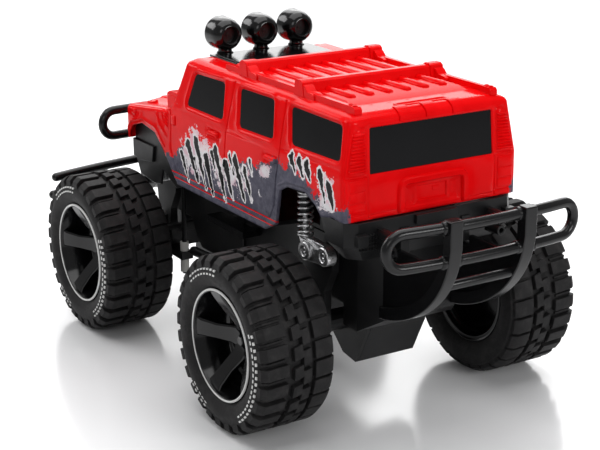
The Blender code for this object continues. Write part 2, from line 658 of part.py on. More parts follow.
# ---------------------------------------------------------------- front axle unit and steering
def make_front_axle(metals):
    black, x = metals["black"], WHEELBASE
    beam = block("front_axle_beam", (x - 6, -48, 46), (x + 6, 48, 56), black)
    cage = block("servo_cage", (x - 15, -13.5, 34), (x + 15, 13.5, 56.5), black)
    fuse(beam, cage)
    for side, sign in SIDES:
        low, high = sorted((sign * 45, sign * 50))
        web = block(f"hub_web_{side}", (x - 6, low, 34), (x + 6, high, 70), black)
        low, high = sorted((sign * 45, sign * (KINGPIN_Y + 5.5)))
        arms = []
        for z in (34, 66):
            arms.append(block(f"hub_arm_{side}_{z}", (x - 5.5, low, z), (x + 5.5, high, z + 4), black))
        low, high = sorted((sign * 38.5, sign * 43.6))
        ear = prism(f"front_ear_{side}", ear_outline(x), "Y", low, high, black)
        low, high = sorted((sign * (POST_Y - 4.2), sign * (POST_Y + 4.2)))
        eye = block(f"bush_eye_{side}", (POST_X - 4.2, low, 42), (x - 1, high, 47), black)
        fuse(beam, web, *arms, ear, eye)
        cut(beam, rod(f"kingpin_bore_{side}", "Z", (x, sign * KINGPIN_Y), 2.4, 30, 75, black, 12))
        cut(beam, rod(f"eye_bore_{side}", "Z", (POST_X, sign * POST_Y), 2.5, 40, 50, black, 12))
    cut(beam, block("servo_pocket", (x - 12.5, -10.5, 36.4), (x + 12.5, 10.5, 60), black))
    block("steering_servo", (x - 12, -10, 36.8), (x + 12, 10, 57.2), black)
    for side, sign in SIDES:
        centre = (POST_X, sign * POST_Y)
        profile = [
            (32.5, 1.9), (32.5, 3.0), (41.7, 3.0), (41.7, 2.2),
            (47.3, 2.2), (47.3, 3.0), (53.6, 3.0), (53.6, 1.9),
        ]
        turned(f"guide_bush_{side}", profile, "Z", centre, metals["nylon"], 14)


def make_steering(metals):
    x, nylon, black = WHEELBASE, metals["nylon"], metals["black"]
    for side, sign in SIDES:
        pivot = (x, sign * KINGPIN_Y)
        origin = (x, sign * KINGPIN_Y, AXLE_Z)
        knuckle = rod(f"knuckle_{side}", "Z", pivot, 5.0, 38.4, 65.6, nylon, 16, origin)
        pin = rod(f"kingpin_{side}", "Z", pivot, 2.0, 33.0, 71.0, nylon, 12)
        low, high = sorted((sign * KINGPIN_Y, sign * 92))
        stub = rod(f"stub_{side}", "Y", (x, AXLE_Z), SHAFT_RADIUS, low, high, nylon, 16)
        low, high = sorted((sign * (KINGPIN_Y - 3), sign * (KINGPIN_Y + 3)))
        arm = block(f"arm_{side}", (x - STEER_ARM - 3, low, 58.4), (x, high, 61.8), nylon)
        link = rod(f"link_pin_{side}", "Z", (x - STEER_ARM, sign * KINGPIN_Y), 1.5, 61, 65.0, nylon, 10)
        fuse(knuckle, pin, stub, arm, link)
    rod_x = x - STEER_ARM
    track = block("tie_rod", (rod_x - 2, -56, 62.2), (rod_x + 2, 56, 65.2), black, (rod_x, 0, 63.7))
    for n, y in enumerate((-KINGPIN_Y, 0.0, KINGPIN_Y)):
        fuse(track, block(f"link_pad_{n}", (rod_x - 4.2, y - 3.6, 62.2), (rod_x + 4.8, y + 3.6, 65.2), black))
        cut(track, block(f"link_slot_{n}", (rod_x - 2.0, y - 1.9, 60), (rod_x + 2.9, y + 1.9, 70), black))
    arm = block("steering_arm", (rod_x - 3, -3, 58.4), (x, 3, 61.8), nylon, (x, 0, AXLE_Z))
    hub = rod("arm_hub", "Z", (x, 0), 4.2, 57.5, 61.8, nylon, 16)
    fuse(arm, hub, rod("arm_pin", "Z", (rod_x, 0), 1.5, 61, 65.0, nylon, 10))


# ---------------------------------------------------------------- wheels
def turned_point(pair, turn, centre):
    x, z = pair
    c, s = math.cos(turn), math.sin(turn)
    return centre[0] + x * c - z * s, centre[1] + x * s + z * c


def make_wheels(metals):
    tyre = [
        (66.0, 33.2), (TYRE_INNER_Y, 42.0), (65.0, 51.0), (68.5, TYRE_RADIUS), (105.0, TYRE_RADIUS),
        (109.2, 50.8), (TYRE_OUTER_Y, 44.0), (107.5, 33.2), (105.0, 38.0), (104.5, 48.0), (69.0, 48.0),
        (68.0, 38.0),
    ]
    rim = [
        (64.5, 30.2), (64.5, RIM_RADIUS), (108.7, RIM_RADIUS), (108.7, 30.6), (101.0, 30.2), (92.5, 9.0),
        (92.5, 2.9), (66.5, 2.9), (66.5, 7.5), (87.5, 8.5), (97.0, 30.2),
    ]
    window = circle((0, 0), 28.0, 5, math.radians(-25), math.radians(50))
    window += circle((0, 0), 13.0, 2, math.radians(14), math.radians(-28))
    for axle, station in AXLES:
        for side, sign in SIDES:
            origin = (station, sign * (0 if axle == "rear" else 88), AXLE_Z)
            centre = (station, AXLE_Z)
            profile = [(sign * y, r) for y, r in tyre]
            turned(f"tyre_{axle}_{side}", profile, "Y", centre, metals["rubber"], WHEEL_SEGMENTS, origin)
            profile = [(sign * y, r) for y, r in rim]
            wheel = turned(f"rim_{axle}_{side}", profile, "Y", centre, metals["gloss"], 30, origin)
            low, high = sorted((sign * 80, sign * 106))
            for n in range(5):
                turn = 2 * math.pi * n / 5 + math.radians(18)
                gap = [turned_point(pair, turn, centre) for pair in window]
                cut(wheel, prism(f"spoke_gap_{axle}_{side}_{n}", gap, "Y", low, high, metals["gloss"]))


def smooth_round_pieces():
    for item in bpy.data.objects:
        if item.type == "MESH" and not item.hide_render:
            item.data.shade_smooth()
            item.data.set_sharp_from_angle(angle=math.radians(35))


def main():
    for old in list(bpy.data.objects):
        bpy.data.objects.remove(old, do_unlink=True)
    metals = make_materials()
    make_body_shell(metals["red"])
    make_glazing(metals["glass"])
    make_front_face(metals)
    make_roof_lamps(metals)
    make_tub(metals["black"])
    make_deck(metals["black"])
    make_valance(metals["black"])
    make_rear_bumper(metals["black"])
    make_front_bumper(metals["black"])
    make_front_guard(metals["black"])
    make_side_steps(metals["black"])
    make_inside(metals)
    make_springs(metals["steel"])
    make_shock_brackets(metals["silver"])
    make_gearbox(metals)
    make_drive_train(metals)
    make_front_axle(metals)
    make_steering(metals)
    make_wheels(metals)
    smooth_round_pieces()


main()
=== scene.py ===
"""Looks for the big-wheeled remote control off-road car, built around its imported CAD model.

Lengths are in millimetres unless a name says otherwise. Stations (x) run forward from the rear axle, y runs to
the car's left and z runs up from the ground; at() turns them into the frame's metres.
"""

import functools
import math

import bmesh
import bpy
import numpy as np
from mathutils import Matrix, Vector
from mathutils.bvhtree import BVHTree
from mathutils.geometry import delaunay_2d_cdt


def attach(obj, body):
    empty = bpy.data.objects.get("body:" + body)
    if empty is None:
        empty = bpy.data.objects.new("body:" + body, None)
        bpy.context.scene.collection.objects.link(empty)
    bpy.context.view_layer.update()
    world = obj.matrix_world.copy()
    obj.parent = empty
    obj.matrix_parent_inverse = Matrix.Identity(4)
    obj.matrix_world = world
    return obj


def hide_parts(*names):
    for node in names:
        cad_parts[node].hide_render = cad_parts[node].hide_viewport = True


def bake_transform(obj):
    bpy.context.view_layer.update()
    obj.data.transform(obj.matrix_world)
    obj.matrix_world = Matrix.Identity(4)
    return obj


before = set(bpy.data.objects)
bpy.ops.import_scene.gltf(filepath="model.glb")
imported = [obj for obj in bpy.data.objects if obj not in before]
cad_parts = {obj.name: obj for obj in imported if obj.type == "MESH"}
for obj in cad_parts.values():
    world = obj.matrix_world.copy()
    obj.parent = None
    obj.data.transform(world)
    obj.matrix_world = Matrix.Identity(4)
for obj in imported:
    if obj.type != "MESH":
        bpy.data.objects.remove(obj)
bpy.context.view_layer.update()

MID_STATION = 79.75
AXLE_Z = 52
WHEELBASE = 193
SIDES = (("left", 1), ("right", -1))
AXLES = (("rear", 0), ("front", WHEELBASE))

BODY_HALF_WIDTH = 59.6
GUTTER_HALF_WIDTH = 54.2
ROOF_HALF_WIDTH = 50.2
BODY_REAR = -52
BODY_FRONT = 218
BELT_Z = 153.4
GUTTER_Z = 183.4
ROOF_Z = 187
SHELL = 1.7
CORNER = 3.6
SILL_Z = 104
REAR_LOW_Z = 129
FRONT_LOW_Z = 119.6
COWL_X = 151
ROOF_FRONT = 138
HOOD_BREAK_X, HOOD_BREAK_Z = 162, 151
NOSE_Z = 143.5
HEADLAMP_Y, HEADLAMP_Z = 46, 131.5
SPRING_AHEAD, SPRING_Y = 8, 46.8

FRONT_ARCH = [
    (144, SILL_Z), (163.8, 123.8), (174.7, 132.1), (193.4, 134.5), (208.5, 130), (BODY_FRONT, FRONT_LOW_Z),
]
REAR_ARCH = [
    (BODY_REAR, REAR_LOW_Z), (-39.5, 130), (-28.1, 127.4), (-22.4, 132.6), (-11.4, 137.3),
    (7.8, 135.7), (15.6, 131.6), (19.8, 110.2), (32.2, SILL_Z),
]


def at(x, y, z):
    return Vector(((x - MID_STATION) * 0.001, y * 0.001, z * 0.001))


# ---------------------------------------------------------------- materials
class Graph:
    """One material and short ways to add nodes to it."""

    def __init__(self, name):
        self.material = bpy.data.materials.new(name)
        self.material.use_nodes = True
        self.tree = self.material.node_tree
        self.shader = self.tree.nodes["Principled BSDF"]
        self.place = self.node("ShaderNodeTexCoord").outputs["Object"]

    def put(self, socket, value):
        if isinstance(value, bpy.types.NodeSocket):
            self.tree.links.new(value, socket)
        else:
            socket.default_value = value

    def node(self, kind, inputs=(), **settings):
        made = self.tree.nodes.new(kind)
        for key, value in settings.items():
            setattr(made, key, value)
        for key, value in dict(inputs).items():
            self.put(made.inputs[key], value)
        return made

    def math(self, operation, *values, clamp=False):
        inputs = dict(enumerate(values))
        return self.node("ShaderNodeMath", inputs, operation=operation, use_clamp=clamp).outputs[0]

    def times(self, first, *more):
        for value in more:
            first = self.math("MULTIPLY", first, value)
        return first

    def least(self, values):
        return functools.reduce(lambda a, b: self.math("MINIMUM", a, b), values)

    def most(self, values):
        return functools.reduce(lambda a, b: self.math("MAXIMUM", a, b), values)

    def vector(self, operation, *values):
        made = self.node("ShaderNodeVectorMath", dict(enumerate(values)), operation=operation)
        return made.outputs["Value" if operation in ("DOT_PRODUCT", "LENGTH") else "Vector"]

    def noise(self, scale, detail=2, roughness=0.5, vector=None):
        inputs = {"Scale": scale, "Detail": detail, "Roughness": roughness, "Vector": vector or self.place}
        return self.node("ShaderNodeTexNoise", inputs).outputs["Fac"]

    def span(self, value, low, high, to_low=0, to_high=1, curve="SMOOTHSTEP"):
        inputs = {"Value": value, "From Min": low, "From Max": high, "To Min": to_low, "To Max": to_high}
        return self.node("ShaderNodeMapRange", inputs, interpolation_type=curve).outputs["Result"]

    def mix(self, share, a, b):
        """Colour a turning into colour b; its colour sockets are found by number, as their names repeat."""
        a, b = [(*c, 1) if isinstance(c, tuple) and len(c) == 3 else c for c in (a, b)]
        return self.node("ShaderNodeMix", {"Factor": share, 6: a, 7: b}, data_type="RGBA").outputs[2]

    def bump(self, height, distance_mm, strength=1, after=None):
        inputs = {"Height": height, "Distance": distance_mm * 0.001, "Strength": strength}
        if after:
            inputs["Normal"] = after
        return self.node("ShaderNodeBump", inputs).outputs["Normal"]

    def set(self, **inputs):
        for key, value in inputs.items():
            self.put(self.shader.inputs[key.replace("_", " ")], value)
        return self.material


def tone(colour, factor):
    return tuple(min(1, c * factor) for c in colour)


def plastic(name, colour, roughness, grain=0.02, grain_scale=2600, spread=0.12, shine=0.2, spot=0.10):
    """Moulded plastic: faint flow marks in the colour, fine grain, and patches handled a little shinier."""
    g = Graph(name)
    flow = g.noise(38, 3)
    base = g.mix(g.span(flow, 0.3, 0.7), tone(colour, 1 - spot), tone(colour, 1 + spot))
    rough = g.span(g.noise(90, 4, 0.6), 0.3, 0.7, roughness - spread * roughness, roughness + spread * roughness)
    normal = g.bump(g.noise(grain_scale, 2), grain)
    return g.set(Base_Color=base, Roughness=rough, Normal=normal, Specular_IOR_Level=shine)


def metal(name, colour, roughness, streak=(1, 1, 12), depth=0.015):
    g = Graph(name)
    stretched = g.node("ShaderNodeMapping", {"Vector": g.place, "Scale": streak}).outputs["Vector"]
    lines = g.noise(420, 3, 0.6, stretched)
    tarnish = g.noise(120, 4)
    base = g.mix(g.span(tarnish, 0.35, 0.75), tone(colour, 1.05), tone(colour, 0.72))
    rough = g.span(lines, 0.25, 0.75, roughness * 0.7, roughness * 1.35)
    return g.set(Base_Color=base, Roughness=rough, Metallic=1, Normal=g.bump(lines, depth))


def rubber(name):
    g = Graph(name)
    dust = g.noise(160, 6, 0.7)
    fine = g.noise(1500, 3, 0.6)
    base = g.mix(g.span(dust, 0.42, 0.78), (0.011, 0.0105, 0.011), (0.028, 0.0265, 0.0265))
    rough = g.span(fine, 0.2, 0.8, 0.5, 0.72)
    return g.set(Base_Color=base, Roughness=rough, Normal=g.bump(fine, 0.09, 0.7), Specular_IOR_Level=0.2)


def print_mask(g, where):
    """Black slanted brush strokes on the sides: the share of ink, and the share of ink or its pale outline."""
    reaches = []
    for x, z, dx, dz, half in STROKES:
        along = Vector((dx, dz, 0))
        offset = g.vector("SUBTRACT", where, (x, z, 0))
        share = g.vector("DOT_PRODUCT", offset, tuple(along / along.length_squared))
        share = g.math("MULTIPLY", share, 1, clamp=True)
        tip = g.node("ShaderNodeVectorMath", {0: tuple(along), "Scale": share}, operation="SCALE").outputs[0]
        reach = g.vector("LENGTH", g.vector("SUBTRACT", offset, tip))
        taper = g.math("MULTIPLY_ADD", share, half * 0.75, -half)
        reaches.append(g.math("ADD", reach, taper))
    wobble = g.span(g.noise(170, 3, 0.6), 0.2, 0.8, -1.3, 1.3)
    nearest = g.math("ADD", g.least(reaches), wobble)
    return g.span(nearest, 0.15, -0.15), g.span(nearest, 1.35, 1)


# Slashes on the sides: station, height, run, rise and half thickness of each.
STROKES = [
    (137, 127, -9, -17, 1.95), (128, 134, -13, -21, 3.25), (119, 126, -5, -13, 1.56), (117, 139, -12, -28, 2.99),
    (104, 131, -8, -22, 3.38), (97, 136, -4, -9, 1.69), (92, 139, -12, -29, 2.86), (79, 132, -8, -19, 3.38),
    (74, 139, -5, -10, 1.56), (68, 138, -12, -23, 3.12), (56, 134, -8, -17, 2.34), (50, 141, -3, -8, 1.43),
    (3, 155, -4, -9, 2.6), (-5, 154, -4, -8, 2.47), (-13, 154, -4, -9, 2.73), (-27, 152, -5, -15, 2.6),
    (-36, 147, -4, -12, 2.86),
]
# The grey print's upper edge: stations and heights, drawn as a curve over these spans.
PRINT_EDGE = [
    (-60, 137), (-44, 137), (-30, 138), (-12, 145), (4, 148), (24, 146), (48, 138), (90, 133), (134, 131), (150, 122),
    (220, 112),
]
PRINT_FROM, PRINT_LENGTH, PRINT_LOW, PRINT_RISE = -60, 280, 100, 60
SILL_LINES = (111.6, 108.2)
# Spatter on the sides: centre, size and the noise level it starts from.
SPLASHES = [
    ((116, 131), (24, 16), 0.30), ((74, 127), (34, 12), 0.33), ((34, 139), (13, 8), 0.38), ((-5, 150), (15, 7), 0.36),
    ((-33, 141), (13, 14), 0.33),
]


def splash(g, where, centre, size, cut):
    """Spattered paint that thins out away from its centre."""
    scaled = g.vector("DIVIDE", g.vector("SUBTRACT", where, (*centre, 0)), (*size, 1))
    thinning = g.times(g.vector("LENGTH", scaled), 0.26)
    return g.span(g.math("SUBTRACT", g.noise(95, 6, 0.75), thinning), cut, cut + 0.02)


def paint():
    """Glossy red plastic whose lower sides are printed grey, with spatter and abstract brush strokes."""
    g = Graph("body_paint")
    parts = g.node("ShaderNodeSeparateXYZ", {"Vector": g.place}).outputs
    x = g.math("MULTIPLY_ADD", parts["X"], 1000, MID_STATION)
    y, z = g.times(parts["Y"], 1000), g.times(parts["Z"], 1000)
    where = g.node("ShaderNodeCombineXYZ", {"X": x, "Y": z}).outputs[0]
    outer = g.span(g.math("ABSOLUTE", y), 54.4, 54.8)
    side = g.times(outer, g.span(x, -51, -50.4))

    ragged = g.span(g.noise(75, 6, 0.72), 0.25, 0.75, -6, 6)
    along = g.span(x, PRINT_FROM, PRINT_FROM + PRINT_LENGTH, curve="LINEAR")
    line = g.node("ShaderNodeFloatCurve", {"Value": along})
    trace = line.mapping.curves[0].points
    spots = [((x_mm - PRINT_FROM) / PRINT_LENGTH, (z_mm - PRINT_LOW) / PRINT_RISE) for x_mm, z_mm in PRINT_EDGE]
    for spot in spots[1:-1]:
        trace.new(*spot)
    trace[0].location, trace[-1].location = spots[0], spots[-1]
    line.mapping.update()
    edge = g.math("ADD", g.math("MULTIPLY_ADD", line.outputs[0], PRINT_RISE, PRINT_LOW), ragged)
    seam = g.least([g.math("ABSOLUTE", g.math("SUBTRACT", z, level)) for level in SILL_LINES])
    printed = g.times(g.span(g.math("SUBTRACT", z, edge), 0.35, -0.35), outer, side)
    printed = g.times(printed, g.span(x, 159.5, 158.5), g.span(seam, 0.3, 0.55))

    red = g.mix(g.span(g.noise(55, 4), 0.35, 0.65), (0.78, 0.0025, 0.0035), (0.84, 0.0035, 0.005))
    grey = g.mix(g.span(g.noise(240, 4, 0.7), 0.35, 0.7), (0.072, 0.070, 0.100), (0.118, 0.114, 0.150))
    pale = g.mix(g.span(g.noise(130, 4), 0.35, 0.65), (0.80, 0.52, 0.60), (0.86, 0.84, 0.86))
    spatter = g.times(g.most([splash(g, where, *item) for item in SPLASHES]), side)
    ink, outline = print_mask(g, where)
    colour = g.mix(g.times(spatter, 0.88), g.mix(printed, red, grey), pale)
    colour = g.mix(g.times(outline, side), colour, (0.83, 0.80, 0.82))
    colour = g.mix(g.times(ink, side), colour, (0.012, 0.012, 0.013))
    rough = g.math("ADD", g.span(g.noise(60, 3), 0.3, 0.7, 0.09, 0.14), g.times(printed, 0.18))
    normal = g.bump(g.noise(2400, 2), 0.006, 0.6, g.bump(g.noise(260, 2), 0.012, 0.6))
    return g.set(Base_Color=colour, Roughness=rough, Normal=normal, Specular_IOR_Level=0.06)


def clear(name):
    g = Graph(name)
    rough = g.span(g.noise(150, 3), 0.3, 0.7, 0.03, 0.09)
    lines = g.node("ShaderNodeTexWave", {"Vector": g.place, "Scale": 180, "Distortion": 0.4}, bands_direction="Y")
    normal = g.bump(lines.outputs["Fac"], 0.05, 0.5)
    tint = g.mix(g.noise(60), (0.90, 0.92, 0.95), (0.80, 0.83, 0.87))
    return g.set(Base_Color=tint, Roughness=rough, Normal=normal, Transmission_Weight=0.75)


def circuit_board():
    g = Graph("circuit_board")
    colours = {"Color1": (0.01, 0.10, 0.035, 1), "Color2": (0.015, 0.13, 0.045, 1), "Mortar": (0.05, 0.30, 0.10, 1)}
    tracks = g.node("ShaderNodeTexBrick", {"Vector": g.place, "Scale": 260, "Mortar Size": 0.12, **colours})
    rough = g.span(g.noise(900), 0.3, 0.7, 0.28, 0.42)
    return g.set(Base_Color=tracks.outputs["Color"], Roughness=rough, Normal=g.bump(tracks.outputs["Fac"], 0.05))


def battery_wrap():
    g = Graph("battery_wrap")
    bands = g.node("ShaderNodeTexWave", {"Vector": g.place, "Scale": 14, "Distortion": 0.3}, bands_direction="X")
    base = g.mix(g.span(bands.outputs["Fac"], 0.2, 0.5), (0.01, 0.035, 0.16), (0.03, 0.10, 0.36))
    creases = g.noise(210, 5, 0.65)
    return g.set(Base_Color=base, Roughness=g.span(creases, 0.3, 0.7, 0.22, 0.4), Normal=g.bump(creases, 0.2))


def pale_floor():
    g = Graph("pale_floor")
    mottle = g.noise(7, 5, 0.6)
    base = g.mix(g.span(mottle, 0.3, 0.7), (0.885, 0.885, 0.895), (0.895, 0.895, 0.905))
    return g.set(Base_Color=base, Roughness=g.span(g.noise(3), 0.2, 0.8, 0.15, 0.19), Specular_IOR_Level=0.6)


RED = paint()
BLACK = plastic("satin_black_plastic", (0.005, 0.005, 0.0055), 0.22, grain=0.03, grain_scale=1500, shine=0.36)
MATT = plastic("matt_black_plastic", (0.0075, 0.0075, 0.008), 0.36, grain=0.06, grain_scale=1100, shine=0.24)
GLOSS = plastic("gloss_black_plastic", (0.003, 0.003, 0.0035), 0.14, grain=0.01, shine=0.45)
TINT = plastic("window_tint", (0.0035, 0.0035, 0.0042), 0.12, grain=0.004, shine=0.16)
RUBBER = rubber("tyre_rubber")
WHITE = plastic("white_print", (0.72, 0.72, 0.71), 0.42, grain=0.02)
SILVER = metal("silver_plating", (0.70, 0.70, 0.71), 0.34)
STEEL = metal("spring_steel", (0.78, 0.78, 0.79), 0.32)
CAN = metal("motor_can", (0.5, 0.5, 0.52), 0.32)
NYLON = plastic("natural_nylon", (0.76, 0.75, 0.71), 0.4, grain=0.03)
LENS = clear("clear_lens")
BOARD = circuit_board()
WRAP = battery_wrap()


# ---------------------------------------------------------------- shapes: (points, faces) pairs
def join(*shapes):
    points, faces = [], []
    for corners, loops in shapes:
        start = len(points)
        points += corners
        faces += [[start + i for i in loop] for loop in loops]
    return points, faces


def skin(rings, closed=False, capped=True):
    count, size = len(rings), len(rings[0])
    points = [point for ring in rings for point in ring]
    faces = []
    for i in range(count if closed else count - 1):
        here, there = i * size, (i + 1) % count * size
        faces += [[here + k, here + (k + 1) % size, there + (k + 1) % size, there + k] for k in range(size)]
    if capped and not closed:
        faces += [list(range(size)), list(range(len(points) - size, len(points)))]
    return points, faces


def on_plane(axis, level, pair):
    a, b = pair
    return {"X": (level, a, b), "Y": (a, level, b), "Z": (a, b, level)}[axis]


def prism(outline, axis, low, high):
    return skin([[on_plane(axis, level, pair) for pair in outline] for level in (low, high)])


def block(low, high):
    return prism([(low[0], low[1]), (high[0], low[1]), (high[0], high[1]), (low[0], high[1])], "Z", low[2], high[2])


def circle(centre, radius, count, start=0, sweep=math.tau):
    steps = count if abs(sweep - math.tau) < 1e-6 else count - 1
    turns = [start + sweep * i / steps for i in range(count)]
    return [(centre[0] + radius * math.cos(a), centre[1] + radius * math.sin(a)) for a in turns]


def turned(profile, axis, centre, count=48, closed=False):
    """Turns (place along the axis, radius) pairs; a closed profile makes a ring."""
    size, points, faces = len(profile), [], []
    for i in range(count):
        a = math.tau * i / count
        points += [on_plane(axis, s, (centre[0] + r * math.cos(a), centre[1] + r * math.sin(a))) for s, r in profile]
        here, there = i * size, (i + 1) % count * size
        for j in range(size if closed else size - 1):
            k = (j + 1) % size
            faces.append([here + j, here + k, there + k, there + j])
    if not closed:
        faces += [[i * size for i in range(count)], [i * size + size - 1 for i in range(count)]]
    return points, faces


def rounded(outline, radius, steps=4):
    """The outline with each corner turned into a short arc."""
    made, count = [], len(outline)
    for i, corner in enumerate(outline):
        corner = Vector(corner)
        back = Vector(outline[i - 1]) - corner
        ahead = Vector(outline[(i + 1) % count]) - corner
        reach = min(radius, back.length * 0.45, ahead.length * 0.45)
        start, end = corner + back.normalized() * reach, corner + ahead.normalized() * reach
        for k in range(steps + 1):
            t = k / steps
            made.append(tuple(start * (1 - t) ** 2 + corner * 2 * t * (1 - t) + end * t * t))
    return made


def smooth_path(points, steps=6, closed=False):
    """Points on a smooth curve through the given ones."""
    given = [Vector(p) for p in points]
    count, made = len(given), []
    for i in range(count if closed else count - 1):
        a = given[i - 1] if closed or i else given[0]
        b, c = given[i], given[(i + 1) % count]
        d = given[(i + 2) % count] if closed or i + 2 < count else given[-1]
        for k in range(steps):
            t = k / steps
            bend, twist = 2 * a - 5 * b + 4 * c - d, 3 * b - a - 3 * c + d
            made.append(0.5 * ((2 * b) + (c - a) * t + bend * t ** 2 + twist * t ** 3))
    if not closed:
        made.append(given[-1])
    return made


def tube(path, radius, closed=False, sides=20, up=(1, 0, 0)):
    """A round bar along a path, with domed ends unless it's closed."""
    points = [Vector(p) for p in path]
    count, frames = len(points), []
    for i, here in enumerate(points):
        before = points[i - 1] if closed or i else here
        after = points[(i + 1) % count] if closed or i < count - 1 else here
        along = (after - before).normalized()
        side = along.cross(Vector(up)).normalized()
        frames.append((here, along, side, side.cross(along)))
    rings = [tube_ring(item, 0, radius, sides) for item in frames]
    if not closed:
        dome = [(radius * math.sin(a), radius * math.cos(a)) for a in map(math.radians, (80, 55, 30))]
        start = [tube_ring(frames[0], -shift, size, sides) for shift, size in dome]
        rings = start + rings + [tube_ring(frames[-1], shift, size, sides) for shift, size in reversed(dome)]
    return skin(rings, closed)


def tube_ring(item, shift, radius, sides):
    here, along, side, up = item
    turns = [math.tau * k / sides for k in range(sides)]
    return [tuple(here + along * shift + radius * (math.cos(a) * side + math.sin(a) * up)) for a in turns]


def flip(shape):
    """The shape on the car's other side."""
    points, faces = shape
    return [(x, -y, z) for x, y, z in points], [list(reversed(loop)) for loop in faces]


def both_sides(shape):
    return join(shape, flip(shape))


# ---------------------------------------------------------------- pieces
def show(name, data):
    """Puts a mesh, lamp or camera in the scene."""
    made = bpy.data.objects.new(name, data)
    bpy.context.scene.collection.objects.link(made)
    return made


def show_mesh(name, bm, finishes, smooth_angle):
    mesh = bpy.data.meshes.new(name)
    bm.to_mesh(mesh)
    bm.free()
    for finish in finishes:
        mesh.materials.append(finish)
    mesh.set_sharp_from_angle(angle=math.radians(smooth_angle))
    return show(name, mesh)


def add_faces(bm, corners, loops, kind=0):
    """Smooth faces on the corners; a loop that repeats a face or a corner is left out."""
    for loop in loops:
        try:
            made = bm.faces.new([corners[i] for i in loop])
        except ValueError:
            continue
        made.material_index = kind
        made.smooth = True


def piece(name, shape, material, body, bevel=0, segments=2, smooth_angle=40, extra=()):
    """A shown mesh that rides on a body, or on none yet. extra holds more (shape, material) pairs for the mesh."""
    bm = bmesh.new()
    layers = [(shape, material), *extra]
    for kind, ((points, loops), _) in enumerate(layers):
        add_faces(bm, [bm.verts.new(at(*point)) for point in points], loops, kind)
    bmesh.ops.recalc_face_normals(bm, faces=bm.faces)
    made = show_mesh(name, bm, [finish for _, finish in layers], smooth_angle)
    if bevel:
        soften(made, bevel, segments)
    if body:
        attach(made, body)
    return made


def soften(made, width, segments=2, angle=40):
    step = made.modifiers.new("rounded_edges", "BEVEL")
    step.width = width * 0.001
    step.segments = segments
    step.limit_method = "ANGLE"
    step.angle_limit = math.radians(angle)
    step.use_clamp_overlap = True
    step.harden_normals = True


# ---------------------------------------------------------------- body shell
def half_width(z):
    levels = (BELT_Z, GUTTER_Z, ROOF_Z)
    return float(np.interp(z, levels, (BODY_HALF_WIDTH, GUTTER_HALF_WIDTH, ROOF_HALF_WIDTH)))


def rear_station(z):
    return float(np.interp(z, (REAR_LOW_Z, GUTTER_Z, ROOF_Z), (BODY_REAR, BODY_REAR + 4, BODY_REAR + 7.4)))


def windscreen_station(z):
    return COWL_X - (z - BELT_Z) * (COWL_X - ROOF_FRONT) / (ROOF_Z - BELT_Z)


def hood_z(x):
    if x > HOOD_BREAK_X:
        return HOOD_BREAK_Z + (x - HOOD_BREAK_X) * (NOSE_Z - HOOD_BREAK_Z) / (BODY_FRONT - HOOD_BREAK_X)
    return BELT_Z + (x - COWL_X) * (HOOD_BREAK_Z - BELT_Z) / (HOOD_BREAK_X - COWL_X)


def on_side(sign):
    return lambda x, z: (x, sign * half_width(z), z)


def on_rear(y, z):
    return rear_station(z), y, z


def on_screen(y, z):
    return windscreen_station(z), y, z


def inner_form(inset):
    """The form that the rounded corners are rolled round."""
    gutter, roof = GUTTER_Z - inset * 0.4, ROOF_Z - inset
    low = [(BODY_REAR + inset, 60), (BODY_FRONT - inset, 60), (BODY_FRONT - inset, NOSE_Z - inset)]
    low.append((HOOD_BREAK_X - inset * 0.4, HOOD_BREAK_Z - inset))
    low.append((windscreen_station(BELT_Z) - inset, BELT_Z - inset * 0.2))
    low += [(rear_station(BELT_Z) + inset, BELT_Z)]
    middle = [(windscreen_station(gutter) - inset, gutter), (rear_station(gutter) + inset, gutter)]
    top = [(windscreen_station(ROOF_Z) - inset, roof), (rear_station(ROOF_Z) + inset * 0.8, roof)]
    points = []
    for sign in (1, -1):
        points += [(x, sign * (BODY_HALF_WIDTH - inset), z) for x, z in low]
        points += [(x, sign * (half_width(gutter) - inset), z) for x, z in middle]
        points += [(x, sign * (ROOF_HALF_WIDTH - inset * 0.8), z) for x, z in top]
    faces = []
    for start in (0, 10):
        faces += [[start + i for i in loop] for loop in ((0, 1, 2, 3, 4, 5), (4, 6, 7, 5), (6, 8, 9, 7))]
    around = (0, 1, 2, 3, 4, 6, 8, 9, 7, 5)
    faces += [[i, j, j + 10, i + 10] for i, j in zip(around, around[1:] + around[:1])]
    return BVHTree.FromPolygons([Vector(p) for p in points], faces)


def densify(outline, step):
    made = []
    for i, here in enumerate(outline):
        there = outline[(i + 1) % len(outline)]
        parts = max(1, math.ceil(math.dist(here, there) / step))
        made += [tuple(Vector(here).lerp(Vector(there), k / parts)) for k in range(parts)]
    return made


def offset_loop(points, distance):
    """A loop at a distance outside a closed outline."""
    area = sum(a[0] * b[1] - b[0] * a[1] for a, b in zip(points, points[1:] + points[:1]))
    way, made = (1 if area > 0 else -1), []
    for i, here in enumerate(points):
        here = Vector(here)
        before = (here - Vector(points[i - 1])).normalized()
        after = (Vector(points[(i + 1) % len(points)]) - here).normalized()
        normal = Vector((before.y + after.y, -before.x - after.x))
        if normal.length < 1e-6:
            continue
        normal.normalize()
        reach = distance / max(0.5, normal.dot(Vector((before.y, -before.x))))
        made.append(tuple(here + normal * reach * way))
    return made


def around_line(line, distance):
    """A loop at a distance all round an open line."""
    left, right = [], []
    for i, here in enumerate(line):
        here = Vector(here)
        before = (here - Vector(line[i - 1])).normalized() if i else None
        after = (Vector(line[i + 1]) - here).normalized() if i < len(line) - 1 else None
        along = ((before or after) + (after or before)).normalized()
        normal = Vector((-along.y, along.x))
        reach = distance / max(0.5, normal.dot(Vector((-(before or after).y, (before or after).x))))
        push = along * distance * (1 if after is None else -1 if before is None else 0)
        left.append(tuple(here + normal * reach + push))
        right.append(tuple(here - normal * reach + push))
    return left + right[::-1]


